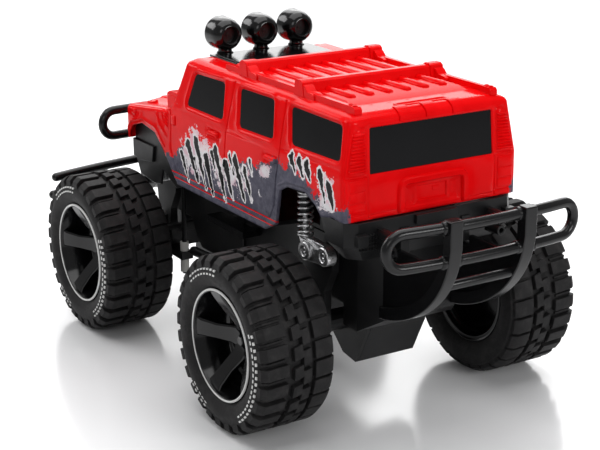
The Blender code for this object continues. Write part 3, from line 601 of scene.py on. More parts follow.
def distances(places, points, closed):
    """The distance of each place from a line, negative inside a closed outline."""
    line = np.array(points, float)
    ends = np.roll(line, -1, axis=0) if closed else line[1:]
    starts = line if closed else line[:-1]
    along = ends - starts
    offset = places[:, None, :] - starts[None]
    share = np.clip((offset * along).sum(2) / np.maximum((along ** 2).sum(1), 1e-9), 0, 1)
    gap = np.sqrt(((offset - share[..., None] * along) ** 2).sum(2)).min(1)
    if closed:
        gap[inside(places, points)] *= -1
    return gap


def inside(places, outline):
    line = np.array(outline, float)
    ends = np.roll(line, -1, axis=0)
    x, y = places[:, 0:1], places[:, 1:2]
    crosses = (line[:, 1] > y) != (ends[:, 1] > y)
    rise = ends[:, 1] - line[:, 1]
    at_x = line[:, 0] + (y - line[:, 1]) * (ends[:, 0] - line[:, 0]) / np.where(rise == 0, 1e-9, rise)
    return ((crosses & (x < at_x)).sum(1) % 2).astype(bool)


def relief(points, profile, closed=True):
    """A raised or sunk form: heights at distances from an open line, or from a closed outline, negative inside."""
    return points, profile, closed


def panel(outline, holes, reliefs, place, lines=(), step=4):
    """A sheet trimmed to an outline, pierced by holes and raised or sunk by reliefs."""
    outline = densify(outline, step)
    loops = [outline, *holes] + [offset_loop(outline, -CORNER * share) for share in (0.36, 0.68, 1)]
    for points, profile, closed in reliefs:
        grown = offset_loop if closed else around_line
        loops += [grown(points, gap) for gap in sorted({gap for gap, _ in profile}) if closed or gap > 0]
    coords, edges = [], []
    for loop in loops:
        start = len(coords)
        coords += [Vector(p) for p in loop]
        edges += [(start + i, start + (i + 1) % len(loop)) for i in range(len(loop))]
    for line in [*lines, *[points for points, _, closed in reliefs if not closed]]:
        start = len(coords)
        coords += [Vector(p) for p in line]
        edges += [(start + i, start + i + 1) for i in range(len(line) - 1)]
    known = np.array([tuple(p) for p in coords])
    us = np.arange(known[:, 0].min(), known[:, 0].max(), step)
    vs = np.arange(known[:, 1].min(), known[:, 1].max(), step)
    grid = np.array([(u + (step / 2 if k % 2 else 0), v) for k, v in enumerate(vs) for u in us])
    grid = grid[inside(grid, outline)]
    near = np.min(((grid[:, None, :] - known[None]) ** 2).sum(2), axis=1) > (step * 0.45) ** 2
    coords += [Vector(p) for p in grid[near]]
    made = delaunay_2d_cdt(coords, edges, [], 0, 1e-4)
    places = np.array([tuple(p) for p in made[0]])
    centres = np.array([np.mean([places[i] for i in face], axis=0) for face in made[2]])
    keep = inside(centres, outline)
    for hole in holes:
        keep &= ~inside(centres, hole)
    heights = np.zeros(len(places))
    for line, profile, closed in reliefs:
        spots, levels = zip(*sorted(profile))
        heights += np.interp(distances(places, line, closed), spots, levels, right=0)
    faces = [list(face) for face, kept in zip(made[2], keep) if kept]
    used = sorted({i for face in faces for i in face})
    index = {old: new for new, old in enumerate(used)}
    points = [place(*places[i]) for i in used]
    return points, [[index[i] for i in face] for face in faces], [heights[i] for i in used]


def groove(points, width=0.35, depth=0.7):
    return relief(points, [(0, -depth), (width, -depth), (width + 0.45, 0)], False)


def ridge(points, half, height):
    return relief(points, [(0, height), (half * 0.55, height * 0.82), (half, 0)], False)


def pad(points, height, edge=0.7):
    return relief(points, [(-edge, height), (-edge * 0.35, height * 0.75), (0, 0)])


def rectangle(low, high, radius=1):
    return rounded([(low[0], low[1]), (high[0], low[1]), (high[0], high[1]), (low[0], high[1])], radius)


SIDE_WINDOWS = [
    rounded([(131, 159), (85, 159), (88, 180.6), (125, 179.6)], 3.2),
    rounded([(64, 158.8), (26, 159.8), (30.6, 181.4), (68.4, 180.8)], 2.8),
    rounded([(5.2, 161), (-43.2, 162.2), (-40.6, 181), (10.8, 181.2)], 3.2),
]
REAR_WINDOW = rounded([(-41.8, 154.2), (41.8, 154.2), (41.2, 179.4), (-41.2, 179.4)], 0.9)
WINDSCREEN = rounded([(-47, 158), (47, 158), (43.5, 181.6), (-43.5, 181.6)], 3)


def side_panel(sign):
    top = [(BODY_FRONT, NOSE_Z), (HOOD_BREAK_X, HOOD_BREAK_Z), (COWL_X, BELT_Z)]
    top += [(windscreen_station(GUTTER_Z), GUTTER_Z), (ROOF_FRONT, ROOF_Z)]
    back = [(rear_station(ROOF_Z), ROOF_Z), (rear_station(GUTTER_Z), GUTTER_Z)]
    outline = REAR_ARCH + FRONT_ARCH + top + back
    frame_profile = [(0, -1), (1.5, -0.15), (2.1, 0.35), (3.1, 0.35), (3.8, 0)]
    reliefs = [relief(window, frame_profile) for window in SIDE_WINDOWS]
    reliefs += [
        groove([(84.6, 107), (83, 122), (78, 155), (75.5, 183.4)]),
        groove([(27, 112.5), (21.6, 122), (20, 138), (16.2, 152), (16.6, 183.4)]),
        groove([(145, 111.5), (151.6, 127), (151, 151.8)]),
        groove([(144.5, 111.6), (29.5, 111.6)], 0.25, 0.5),
        groove([(143, 108.2), (31.5, 108.2)], 0.25, 0.5),
        groove([(162.9, 148), (161, 139)], 0.25, 0.5),
        groove([(14.5, 156.2), (-45.5, 157.4)], 0.2, 0.35),
        ridge([(171, 146), (167.6, 139), (158.2, 133.2)], 1.7, 0.8),
        ridge([(150, 155), (146.6, 168), (143, 180)], 1.3, 0.6),
        pad(rounded([(211.5, 142), (202, 142.3), (203, 138), (206.5, 137.6)], 1.2), 0.6),
        pad(rectangle((144.4, 142.6), (150, 149.2), 0.8), 0.7),
        ridge(offset_line(FRONT_ARCH[1:], 3.4), 1, 0.55),
        ridge(offset_line(REAR_ARCH[3:7], 3.4), 1, 0.55),
    ]
    reliefs += [ridge([(159.4, z + 1), (155.2, z - 1.2)], 0.8, 0.9) for z in (141 + 2.1 * n for n in range(5))]
    for handle in (94.2, 25.9):
        reliefs += [
            relief(rectangle((handle - 7.6, 144.2), (handle + 7.6, 150.9), 1.6), [(-0.9, -0.55), (0, 0)]),
            pad(rectangle((handle - 6.3, 146), (handle + 6.3, 149.9), 1.4), 1.9, 0.8),
        ]
    belt = [[(rear_station(z), z), (windscreen_station(z), z)] for z in (BELT_Z, GUTTER_Z)]
    return panel(outline, SIDE_WINDOWS, reliefs, on_side(sign), belt)


def offset_line(line, distance):
    """The line moved to its left, which is out of an arch listed from rear to front."""
    made = []
    for i, here in enumerate(line):
        before, after = Vector(line[max(0, i - 1)]), Vector(line[min(len(line) - 1, i + 1)])
        along = (after - before).normalized()
        made.append(tuple(Vector(here) + Vector((-along.y, along.x)) * distance))
    return made


def rear_panel():
    levels = (REAR_LOW_Z, BELT_Z, GUTTER_Z, ROOF_Z)
    outline = [(half_width(z), z) for z in levels] + [(-half_width(z), z) for z in reversed(levels)]
    gutter = [[(-GUTTER_HALF_WIDTH, GUTTER_Z), (GUTTER_HALF_WIDTH, GUTTER_Z)]]
    gate_frame = rounded_line([(-21.9, 131.4), (-21.6, 147.4), (21.6, 147.4), (21.9, 131.4)], 4.4)
    reliefs = [
        relief(REAR_WINDOW, [(0, -0.7), (0.7, 0)]),
        relief(gate_frame, [(0, 2.3), (1.3, 2.3), (1.9, 1.5), (2.2, 0)], False),
        relief(rectangle((-19.2, 131.6), (19.2, 144.9), 2), [(-0.7, -0.6), (0, 0)]),
        relief(rectangle((-10.2, 134.4), (10.2, 143.2), 0.8), [(-0.6, -1), (0, 0)]),
        relief(rectangle((-18.2, 133.2), (-12.2, 143.4), 0.6), [(-0.6, -0.7), (0, 0)]),
        relief(rectangle((12.2, 133.2), (18.2, 143.4), 0.6), [(-0.6, -0.7), (0, 0)]),
        pad(rectangle((-5.5, 138.6), (-0.5, 141.4), 0.5), 0.5, 0.4),
        groove([(-42.4, 131.4), (-24.9, 131.4)], 0.2, 0.5),
        groove([(24.9, 131.4), (42.4, 131.4)], 0.2, 0.5),
    ]
    for _, sign in SIDES:
        column = [(44.3, 154.8), (56.6, 154.8), (52.6, 175.5), (49.6, 180.4), (44.4, 180)]
        column = rounded([(sign * y, z) for y, z in column], 1.8)
        low, high = sorted((sign * 45.2, sign * 56.2))
        ribs = [156.8 + 1.8 * n for n in range(12)]
        reliefs += [
            groove([(sign * 43.4, 130), (sign * 43.4, 152.9)], 0.3, 0.7),
            groove([(sign * 44.2, 153.4), (sign * 57.4, 153.4)], 0.25, 0.6),
            groove([(sign * 44.4, 132.6), (sign * 56, 132.6)], 0.25, 0.6),
            groove(column + column[:1], 0.2, 0.5),
            *[ridge([(sign * 45.6, z), (sign * (56 - (z - 155) * 0.19), z)], 0.78, 1.15) for z in ribs],
            pad(rectangle((low, 133.9), (high, 152.2), 1.2), 0.6),
            *[groove([(sign * 46.4, z), (sign * 55, z)], 0.2, 0.6) for z in (139.4, 145.6)],
        ]
    return panel(outline, [REAR_WINDOW], reliefs, on_rear, gutter)


def rounded_line(points, radius):
    made = rounded(points, radius)
    size = len(made) // len(points)
    return [points[0]] + made[size:-size] + [points[-1]]


def roof_panel():
    rear, wide = rear_station(ROOF_Z), ROOF_HALF_WIDTH
    outline = [(rear, -wide), (ROOF_FRONT, -wide), (ROOF_FRONT, wide), (rear, wide)]
    reliefs = [
        relief(rectangle((-40.6, -17.6), (-34.6, 17.6), 1), [(-1.4, 0), (-1, 0.6), (-0.4, 0.6), (0, 0)]),
        groove([(132.6, -40), (132.6, 40)], 0.25, 0.5),
    ]
    return panel(outline, [], reliefs, lambda x, y: (x, y, ROOF_Z))


def hood_panel():
    wide, stations = BODY_HALF_WIDTH, (COWL_X, HOOD_BREAK_X, BODY_FRONT)
    outline = [(x, -wide) for x in stations] + [(x, wide) for x in reversed(stations)]
    crown = rounded([(120, -50), (213, -47), (213, 47), (120, 50)], 3)
    bulge = rounded([(166, -25), (205, -21), (205, 21), (166, 25)], 4)
    reliefs = [relief(crown, [(-16, 4.6), (-9, 3.6), (-3, 1), (0, 0)]), pad(bulge, 1.3, 2)]
    for _, sign in SIDES:
        slots, vents = [170 + 4.2 * n for n in range(6)], [sign * (12 + 5 * n) for n in range(5)]
        low, high = sorted((sign * 44.5, sign * 49))
        reliefs += [
            groove([(152.5, sign * 41.5), (215, sign * 39.5)], 0.3, 0.6),
            *[ridge([(x, sign * 7), (x, sign * 18.5)], 1, 0.8) for x in slots],
            *[ridge([(154, y), (160.5, y)], 1, 0.8) for y in vents],
            pad(rectangle((198, low), (207, high), 1.2), 1.1),
        ]
    fold = [[(HOOD_BREAK_X, -wide), (HOOD_BREAK_X, wide)]]
    return panel(outline, [], reliefs, lambda x, y: (x, y, hood_z(x)), fold)


def front_panel():
    wide, lamp_rim = BODY_HALF_WIDTH, [(-0.9, 0.15), (-0.5, 1), (0.2, 1), (0.9, 0)]
    outline = [(-wide, FRONT_LOW_Z), (wide, FRONT_LOW_Z), (wide, NOSE_Z), (-wide, NOSE_Z)]
    reliefs = [relief(rectangle((-36.4, 121.6), (36.4, 141.8), 1.4), [(-0.8, -0.4), (0, 0)])]
    reliefs += [relief(circle((sign * HEADLAMP_Y, HEADLAMP_Z), 9.6, 28), lamp_rim) for _, sign in SIDES]
    return panel(outline, [], reliefs, lambda y, z: (BODY_FRONT, y, z))


def screen_panel():
    corners = [(BODY_HALF_WIDTH, BELT_Z), (GUTTER_HALF_WIDTH, GUTTER_Z), (ROOF_HALF_WIDTH, ROOF_Z)]
    outline = [(-BODY_HALF_WIDTH, BELT_Z)] + corners + [(-y, z) for y, z in corners[:0:-1]]
    reliefs = [relief(WINDSCREEN, [(0, -0.9), (1.6, 0.3), (2.4, 0.3), (3, 0)])]
    return panel(outline, [WINDSCREEN], reliefs, on_screen)


def make_body():
    core = inner_form(CORNER)
    bm = bmesh.new()
    sheets = [side_panel(1), side_panel(-1), rear_panel(), roof_panel(), hood_panel(), front_panel(), screen_panel()]
    for points, faces, heights in sheets:
        corners = []
        for sharp, height in zip(map(Vector, points), heights):
            near = core.find_nearest(sharp)[0]
            out = sharp - near
            reach = min(out.length, CORNER) + height
            corners.append(bm.verts.new(at(*(near + out.normalized() * reach))))
        add_faces(bm, corners, faces)
    bmesh.ops.remove_doubles(bm, verts=bm.verts, dist=2e-5)
    bmesh.ops.recalc_face_normals(bm, faces=bm.faces)
    roof = [face for face in bm.faces if face.calc_center_median().z > (ROOF_Z - 0.5) * 0.001]
    if sum(face.normal.z * face.calc_area() for face in roof) < 0:
        bmesh.ops.reverse_faces(bm, faces=bm.faces)
    made = show_mesh("shell", bm, [RED], 50)
    wall = made.modifiers.new("wall", "SOLIDIFY")
    wall.thickness, wall.offset = SHELL * 0.001, -1
    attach(made, "chassis")
    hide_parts("body_shell")


# ---------------------------------------------------------------- roof, cowl and lamps
BAR_X = (12, 75)
LAMP_X, LAMP_Z, LAMP_Y = 137.3, 200.2, 26.6


def make_roof_rack():
    top, base = 189, ROOF_Z - 0.6
    low_ring = [(-29, -41.2, base), (-29, 41.2, base), (101, 41.5, base), (101, -41.5, base)]
    high_ring = [(-21.5, -38.6, top), (-21.5, 38.6, top), (99, 39.2, top), (99, -39.2, top)]
    parts = [skin([low_ring, high_ring])]
    for y in sorted({sign * (6.3 + 12.6 * n) for _, sign in SIDES for n in range(3)}):
        for rear, front in ((-15.5, BAR_X[0]), BAR_X, (BAR_X[1], 93)):
            parts.append(tube([(rear, y, top - 0.5), (front, y, top - 0.5)], 2.6, sides=28, up=(0, 0, 1)))
    for x in BAR_X:
        section = [(-4.6, base), (4.6, base), (3, 194.2), (1.6, 195.2), (-1.6, 195.2), (-3.2, 194)]
        cup = [(-5.6, base), (5.2, base), (4, 194.6), (2, 195.9), (-2, 195.9), (-4, 194.6)]
        foot = [(-15.5, base), (-3, base), (-3, 193.8), (-6, 192.8), (-8.6, 190.3), (-13, 190.1), (-15.5, 189.2)]
        section, cup, foot = [[(x + ahead, z) for ahead, z in form] for form in (section, cup, foot)]
        parts += [prism(section, "Y", -46.5, 46.5), both_sides(prism(cup, "Y", 40, 49.2))]
        parts.append(both_sides(prism(foot, "Y", 42.4, 48.8)))
    rail = prism([(-42.6, base), (98, base), (98, 189.8), (95, 190.3), (-41.5, 190.3), (-42.6, 189.4)], "Y", 45, 48)
    tail = prism([(-44, base), (-34, base), (-34, 189.8), (-36, 190.8), (-42.4, 190.6), (-44, 189.2)], "Y", 43.6, 48.6)
    parts.append(both_sides(join(rail, tail)))
    for x in (-41, -37.2):
        parts.append(both_sides(turned([(190.5, 0.7), (191.3, 0.7), (191.3, 1.3), (190.5, 1.5)], "Z", (x, 46.2), 12)))
    clip = [(-49.1, 180.9), (-46.8, 180.9), (-44, 183.6), (-41, 186), (-41, 187.7), (-43.6, 187.6)]
    clip += [(-47.2, 185.6), (-48.9, 183.4)]
    parts += [prism(clip, "Y", y - 4.1, y + 4.1) for y in (-18, 0, 18)]
    piece("roof_rack", join(*parts), RED, "chassis", 0.7, 3, 35)


def make_cowl():
    box = [(143.6, 150), (158.6, 149), (159.2, 161.6), (155.6, 163.4), (144.4, 163.8)]
    lid = [(145.6, 154.2), (157, 153.4), (157.4, 160.8), (146, 161.6)]
    step = [(140, 153.5), (150, 152.5), (149, 157.6), (141, 157.9)]
    slabs = ((box, 47.5, 57.8), (lid, 57.4, 58.3), (step, 54, 58.9))
    parts = [both_sides(prism(outline, "Y", low, high)) for outline, low, high in slabs]
    parts.append(block((150.4, -46, 150.6), (160, 46, 153)))
    for _, sign in SIDES:
        blade = [(156, sign * 6, 153.4), (151.6, sign * 14, 158), (150, sign * 36, 160.5)]
        parts.append(tube(blade, 0.8, sides=10))
    piece("cowl", join(*parts), RED, "chassis", 0.9, 3, 35)


def make_lamps():
    pod = [
        (-3.4, 0.02), (-3.4, 5.2), (-8, 5.6), (-8.5, 6), (-8.3, 6.8), (-7.2, 8.1), (-5.4, 9.4), (-2.6, 10.2),
        (0.6, 10.5), (4.2, 10.5), (6.6, 10.7), (7.6, 10.5), (7.8, 10), (7.2, 9.4), (5.4, 9.2), (1, 8), (-0.6, 0.02),
    ]
    bore = [(-8, 5.64), (-3.3, 5.3), (-3.2, 0.02), (-3.7, 0.02), (-3.8, 5), (-7.9, 5.3)]
    bolt = [(-3.2, 0.02), (-3.2, 1.6), (-4.1, 1.3), (-4.2, 0.02)]
    dome = [(5, 9.2), (5.6, 9.15), (6.6, 7.4), (7.3, 4.6), (7.6, 0.02)]
    neck = [(187.5, 5.4), (188.5, 5.4), (189.2, 4.5), (191.4, 4.3), (193, 4.9)]
    base = rectangle((103.5, -37), (140, 37), 2)
    deck = rectangle((106, -34.5), (137, 34.5), 2)
    plate = join(prism(base, "Z", 186.4, 187.7), prism(deck, "Z", 187.2, 188.1))
    bar = piece("lamp_base_plate", plate, GLOSS, "chassis", 0.4, 3, 35)
    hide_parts("lamp_bar")
    for name, y in (("left", LAMP_Y), ("centre", 0), ("right", -LAMP_Y)):
        def lathe(profile, count, closed=False):
            return turned([(LAMP_X + ahead, radius) for ahead, radius in profile], "X", (y, LAMP_Z), count, closed)

        shape = join(lathe(pod, 56), turned(neck, "Z", (LAMP_X, y), 28))
        socket = [(join(lathe(bore, 56, True), lathe(bolt, 16)), MATT)]
        lamp = piece(f"lamp_{name}", shape, GLOSS, "chassis", smooth_angle=38, extra=socket)
        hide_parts(f"lamp_pod_{name}")
        lens = piece(f"lens_{name}", lathe(dome, 40), LENS, "chassis")
        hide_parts(f"lamp_lens_{name}")


# ---------------------------------------------------------------- glazing and front face
def pane(outline, place, inward):
    """Dark glazing that fills a window, its face a little below the panel round it."""
    outline = offset_loop(densify(outline, 3), 0.5)
    return skin([[tuple(Vector(place(a, b)) + Vector(inward) * depth) for a, b in outline] for depth in (0.9, 2.4)])


def make_glazing():
    for name, sign in SIDES:
        panes = [pane(window, on_side(sign), (0, -sign, 0)) for window in SIDE_WINDOWS]
        made = piece(f"glazing_{name}", join(*panes), TINT, "chassis")
        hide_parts(f"window_{name}")
    made = piece("glazing_rear", pane(REAR_WINDOW, on_rear, (1, 0, 0)), TINT, "chassis")
    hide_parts("rear_window")
    made = piece("glazing_front", pane(WINDSCREEN, on_screen, (-1, 0, 0)), TINT, "chassis")
    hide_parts("windscreen")
    bowl = [(0.4, 8.3), (1.8, 8.3), (2.9, 7.2), (3.5, 4.6), (3.7, 0.02)]
    bowl = [(BODY_FRONT + ahead, radius) for ahead, radius in bowl]
    for name, sign in SIDES:
        lens = turned(bowl, "X", (sign * HEADLAMP_Y, HEADLAMP_Z), 40)
        made = piece(f"headlamp_lens_{name}", lens, LENS, "chassis")
        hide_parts(f"headlamp_{name}")


# ---------------------------------------------------------------- wheels
LUGS = 28
SPOKES = 5


def tread_block(y_low, y_high, angle, half, low, high, skew=0, shoulder=0):
    """A rubber block on the tread: a slab bent round the wheel, with a sloping shoulder on its outer side."""
    rings = []
    spans = [(y_low, high), *([(y_high - 3.4, high)] if shoulder else []), (y_high, high - shoulder)]
    for y, top in spans:
        lean = skew * (y - y_low) / max(1, y_high - y_low)
        rims = ((low, (-half, 0, half)), (top, (half, 0, -half)))
        spots = [(radius, angle + turn + lean) for radius, turns in rims for turn in turns]
        rings.append([(radius * math.cos(a), y, radius * math.sin(a)) for radius, a in spots])
    return skin(rings)


def tyre_mesh():
    """One tyre about the origin: casing, shoulder lugs outside and inside, and two staggered centre rows."""
    casing = [
        (66.4, 33), (65.2, 34.5), (63.4, 38), (62.7, 42.5), (63.5, 46.6), (65.6, 48.6), (72, 49), (104, 49),
        (107.6, 48.6), (109.6, 46.6), (110.9, 44), (111.3, 41.5), (110.9, 38.4), (109.6, 35.6), (108.5, 34.2),
        (107.7, 33),
    ]
    parts = [turned(casing, "Y", (0, 0), 112, closed=True)]
    pitch = math.tau / LUGS
    for n in range(LUGS):
        a = n * pitch
        parts += [
            tread_block(94, 110.6, a, pitch * 0.31, 45, 51.9, 0.02, 3),
            tread_block(95.4, 109.4, a + pitch * 0.5, pitch * 0.07, 45, 50.2, 0.02, 2.4),
            tread_block(84.9, 90.6, a + pitch * 0.18, pitch * 0.33, 48, 52, 0.03),
            tread_block(79.6, 84.8, a + pitch * 0.46, pitch * 0.37, 48, 52, 0.03),
            tread_block(83.4, 86.4, a + pitch * 0.34, pitch * 0.16, 48, 51.9),
        ]
        inner = tread_block(-77, -64.4, a + pitch * 0.3, pitch * 0.43, 46, 51.8, -0.02, 2)
        parts.append(([(x, -y, z) for x, y, z in inner[0]], inner[1]))
    return join(*parts)


def rim_mesh():
    """One rim about the origin: stepped barrel, dish, five tapering spokes and hub; lip_ring and hub_nut make its lip
    and nut.
    """
    barrel = [
        (66.6, 31.4), (66, 32.7), (108.4, 32.7), (109, 32.2), (109, 31.3), (108.2, 30.9), (105, 30.6),
        (103.6, 29.6), (88, 29.4), (86.6, 27.6), (72, 27.2), (70, 29), (66.8, 29.6),
    ]
    dish = [(84, 0.5), (84, 29), (86, 29.2), (86.4, 12), (88.6, 9), (88.8, 0.5)]
    hub = [(86, 11.4), (90.6, 11.2), (93.4, 9.6), (93.8, 5.4), (92.4, 4.8), (92.4, 0.5)]
    # Each spoke's sections: distance out, face, thickness and half width.
    spoke = (
        (31, 107.4, 3, 6.4), (27.5, 106.2, 4, 5.4), (18, 101, 5.4, 4.9), (10.5, 95.6, 6.6, 5.6),
        (4, 93.6, 7, 6.6),
    )
    parts = [turned(barrel, "Y", (0, 0), 96, closed=True), turned(dish, "Y", (0, 0), 64, closed=True)]
    for n in range(SPOKES):
        turn = math.tau * n / SPOKES + math.radians(3)
        across, up, rings = math.cos(turn), math.sin(turn), []
        for radius, face, thick, half in spoke:
            section = [(half, face - 1), (half - 0.9, face), (-half + 0.9, face), (-half, face - 1)]
            section += [(-half + 0.6, face - thick), (half - 0.6, face - thick)]
            rings.append([(radius * across - s * up, y, radius * up + s * across) for s, y in section])
        parts.append(skin(rings))
    parts.append(turned(hub, "Y", (0, 0), 56))
    return join(*parts)


def lip_ring():
    lip = [(108.6, 31.5), (109.3, 31.7), (109.45, 32.2), (109.2, 32.75), (108.6, 32.9)]
    return turned(lip, "Y", (0, 0), 120, closed=True)


def dashes():
    """Plain thin white marks in two rows round the sidewall, where a tyre would carry its markings."""
    parts = []
    for start, count in ((46, 9), (152, 17), (288, 5)):
        for n in range(count):
            for row, (low, length) in enumerate(((41.2, 3), (44, 2.2))):
                rings = []
                for k in range(3):
                    t = math.radians(start + 5 * n + 1.2 * row + length * k / 2)
                    corners = ((110.2, low), (111.4, low), (111.2, low + 1), (110, low + 1))
                    rings.append([(r * math.cos(t), y, r * math.sin(t)) for y, r in corners])
                parts.append(skin(rings))
    return join(*parts)


def hub_nut():
    return turned([(93, 3.3), (95.6, 3.3), (96, 2.9), (96, 0.5)], "Y", (0, 0), 6)


def placed(shape, station, sign):
    """A wheel's shape on its axle and side; the right wheels are the left ones turned half round."""
    points, faces = shape
    return [(x * sign + station, sign * y, z + AXLE_Z) for x, y, z in points], faces


def make_wheels():
    tyre, rim, ring, bars, nut = tyre_mesh(), rim_mesh(), lip_ring(), dashes(), hub_nut()
    for axle, station in AXLES:
        for side, sign in SIDES:
            body = "rear_wheelset" if axle == "rear" else f"{side}_front_wheel"
            name = f"{axle}_{side}"
            put = lambda shape: placed(shape, station, sign)
            made = piece(f"tyre_{name}_tread", put(tyre), RUBBER, body, 0.35, 1, 34)
            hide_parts(f"tyre_{name}")
            piece(f"tyre_{name}_print", put(bars), WHITE, body)
            made = piece(f"rim_{name}_spokes", put(rim), GLOSS, body, 0.5, 2, 40)
            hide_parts(f"rim_{name}")
            piece(f"rim_{name}_lip", put(ring), WHITE, body)
            piece(f"wheel_nut_{name}", put(nut), GLOSS, body, 0.2, 2)


# ---------------------------------------------------------------- springs and brackets
def coil(centre, low, high, radius, wire, turns):
    """A spring with a flat part turn at each end."""
    path, flat, count = [], 0.75, int(turns * 22)
    for i in range(count + 1):
        t = i / count * turns
        climb = min(max((t - flat) / (turns - 2 * flat), 0), 1)
        a = math.tau * t
        z = low + wire + (high - low - 2 * wire) * climb
        path.append((centre[0] + radius * math.cos(a), centre[1] + radius * math.sin(a), z))
    return tube(path, wire, sides=10, up=(0, 0, 1))


def make_shocks():
    low, high = 104.9, 131.7
    for axle, station in AXLES:
        unit = f"{axle}_axle_unit"
        for side, sign in SIDES:
            centre = (station + SPRING_AHEAD, sign * SPRING_Y)
            shape = coil(centre, low, high, 4.2, 0.78, 8.6)
            spring = piece(f"coil_{axle}_{side}", shape, STEEL, None)
            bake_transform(spring)
            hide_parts(f"spring_{axle}_{side}")
            make_bracket(axle, station, side, sign, unit)


def make_bracket(axle, station, side, sign, unit):
    lift = 5.5 if axle == "front" else 0
    back, front = (station - 15.5 - lift * 0.6, 98.6 + lift), (station + 4.5, 96.8)
    outline = circle(back, 5.9, 9, math.radians(105), math.radians(160))
    outline += circle(front, 5.9, 9, math.radians(-100), math.radians(120))
    outline += [(station + 13.4, 104.5), (station - 3, 104.7)]
    boss = [(48.2, 2.9), (50.3, 2.9), (50.7, 3.4), (50.7, 5), (50.2, 5.7), (48.2, 5.9)]
    pin = [(48.4, 2.4), (49.6, 2.4), (50, 1.9), (50, 0.9), (49.3, 0.8), (49.3, 0.05)]
    parts = [prism(outline, "Y", 44.2, 48.6)]
    for centre in (back, front):
        parts += [turned(boss, "Y", centre, 36, closed=True), turned(pin, "Y", centre, 20)]
    rib = [(station - 8.4, 100.6), (station + 2, 102.2), (station + 11, 103.6), (station - 1, 103.6)]
    parts.append(prism(rib, "Y", 48.2, 49.8))
    parts.append(turned([(102, 1.5), (128.5, 1.5)], "Z", (station + SPRING_AHEAD, SPRING_Y), 20))
    shape = join(*parts)
    shape = shape if sign > 0 else flip(shape)
    made = piece(f"bracket_{axle}_{side}", shape, SILVER, unit, 0.4, 2, 35)
    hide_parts(f"shock_bracket_{axle}_{side}")


# ---------------------------------------------------------------- bumpers
TUBE = 3.1


def loop_path(x_at, half, low, high):
    """A long flat loop of bar, as wide as twice half, bowed by x_at."""
    radius, middle = (high - low) / 2, (high + low) / 2
    path = []
    for sign in (1, -1):
        path += circle((sign * (half - radius), middle), radius, 13, -sign * math.pi / 2, math.pi)
        level = (high, low)[sign < 0]
        path += [(-sign * part * (half - radius), level) for part in (-0.8, -0.5, -0.2, 0.2, 0.5, 0.8)]
    return [(x_at(y), y, z) for y, z in path]


def make_rear_bumper():
    def bowed(y):
        return -101.3 + 5.5 * (y / 64) ** 2

    bars = (116.2, 135.2)
    parts = [tube(loop_path(bowed, 63.2, *bars), TUBE, True), tube([(-94, y, 100) for y in (-26, 0, 26)], 2.8)]
    curve = [
        (-41.3, 65.5), (-52, 67.5), (-66, 72.5), (-79, 80), (-90, 89.5), (-98, 100),
        (-103.5, 112), (-106, 124), (-106, 139.6),
    ]
    inner = [
        (-98.5, 139.6), (-98.5, 124), (-96, 113), (-91, 103.5), (-84.5, 95), (-74.5, 86.2),
        (-62.5, 79.4), (-51, 75.2), (-41.3, 73.2),
    ]
    web = [
        (-41.3, 72.4), (-51, 74.4), (-62.5, 78.6), (-74.5, 85.4), (-84.5, 94.2), (-91, 102.7),
        (-95, 110), (-54.2, 110), (-54.2, 104.3), (-41.3, 104.3),
    ]
    smooth = [tuple(p) for p in smooth_path([(x, z, 0) for x, z in curve[:-1]], 3)]
    back = [tuple(p) for p in smooth_path([(x, z, 0) for x, z in inner[1:]], 3)]
    outline = [(x, z) for x, z, _ in smooth] + [curve[-1], inner[0]] + [(x, z) for x, z, _ in back]
    flange = join(prism(outline, "Y", 21, 29), prism(web, "Y", 23.5, 26.5))
    band = [(18.6, TUBE + 0.1), (19, TUBE + 0.8), (31, TUBE + 0.8), (31.4, TUBE + 0.1)]
    clips = [turned(band, "Y", (bowed(25) + 0.2, z), 24) for z in bars]
    parts.append(both_sides(join(flange, *clips)))
    made = piece("bumper_rear", join(*parts), BLACK, "chassis", 0.9, 3, 35)
    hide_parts("rear_bumper")


def make_front_bumper():
    def drooping(share):
        return (260 - 4 * abs(share) ** 4, 97 * share, 92.4 - 5 * abs(share))

    steps = [n / 14 for n in range(-14, 15)]
    parts = [tube([drooping(s) for s in steps], TUBE), tube([(262.64, 97 * s, 73) for s in steps[::2]], TUBE)]
    horn = [(236.3, 79), (246, 71), (262, 69.6), (264.6, 76), (263.5, 93), (258, 98), (246, 101), (236.3, 102)]
    parts.append(both_sides(prism(rounded(horn, 3), "Y", 22.2, 27.8)))
    made = piece("bumper_front", join(*parts), BLACK, "chassis", 0.6, 2, 35)
    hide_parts("front_bumper")


def make_front_guard():
    def bowed(y):
        return 231 - 4 * (y / 73) ** 2

    stem = rounded([(224, 104.3), (234.5, 104.3), (235, 118), (235.2, 138.8), (229, 140.8), (227, 120)], 1.4)
    parts = [tube(loop_path(bowed, 73, 119.2, 136.8), TUBE, True), both_sides(prism(stem, "Y", 19.4, 25.6))]
    made = piece("guard_front", join(*parts), BLACK, "chassis", 0.6, 2, 35)
    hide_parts("front_guard")


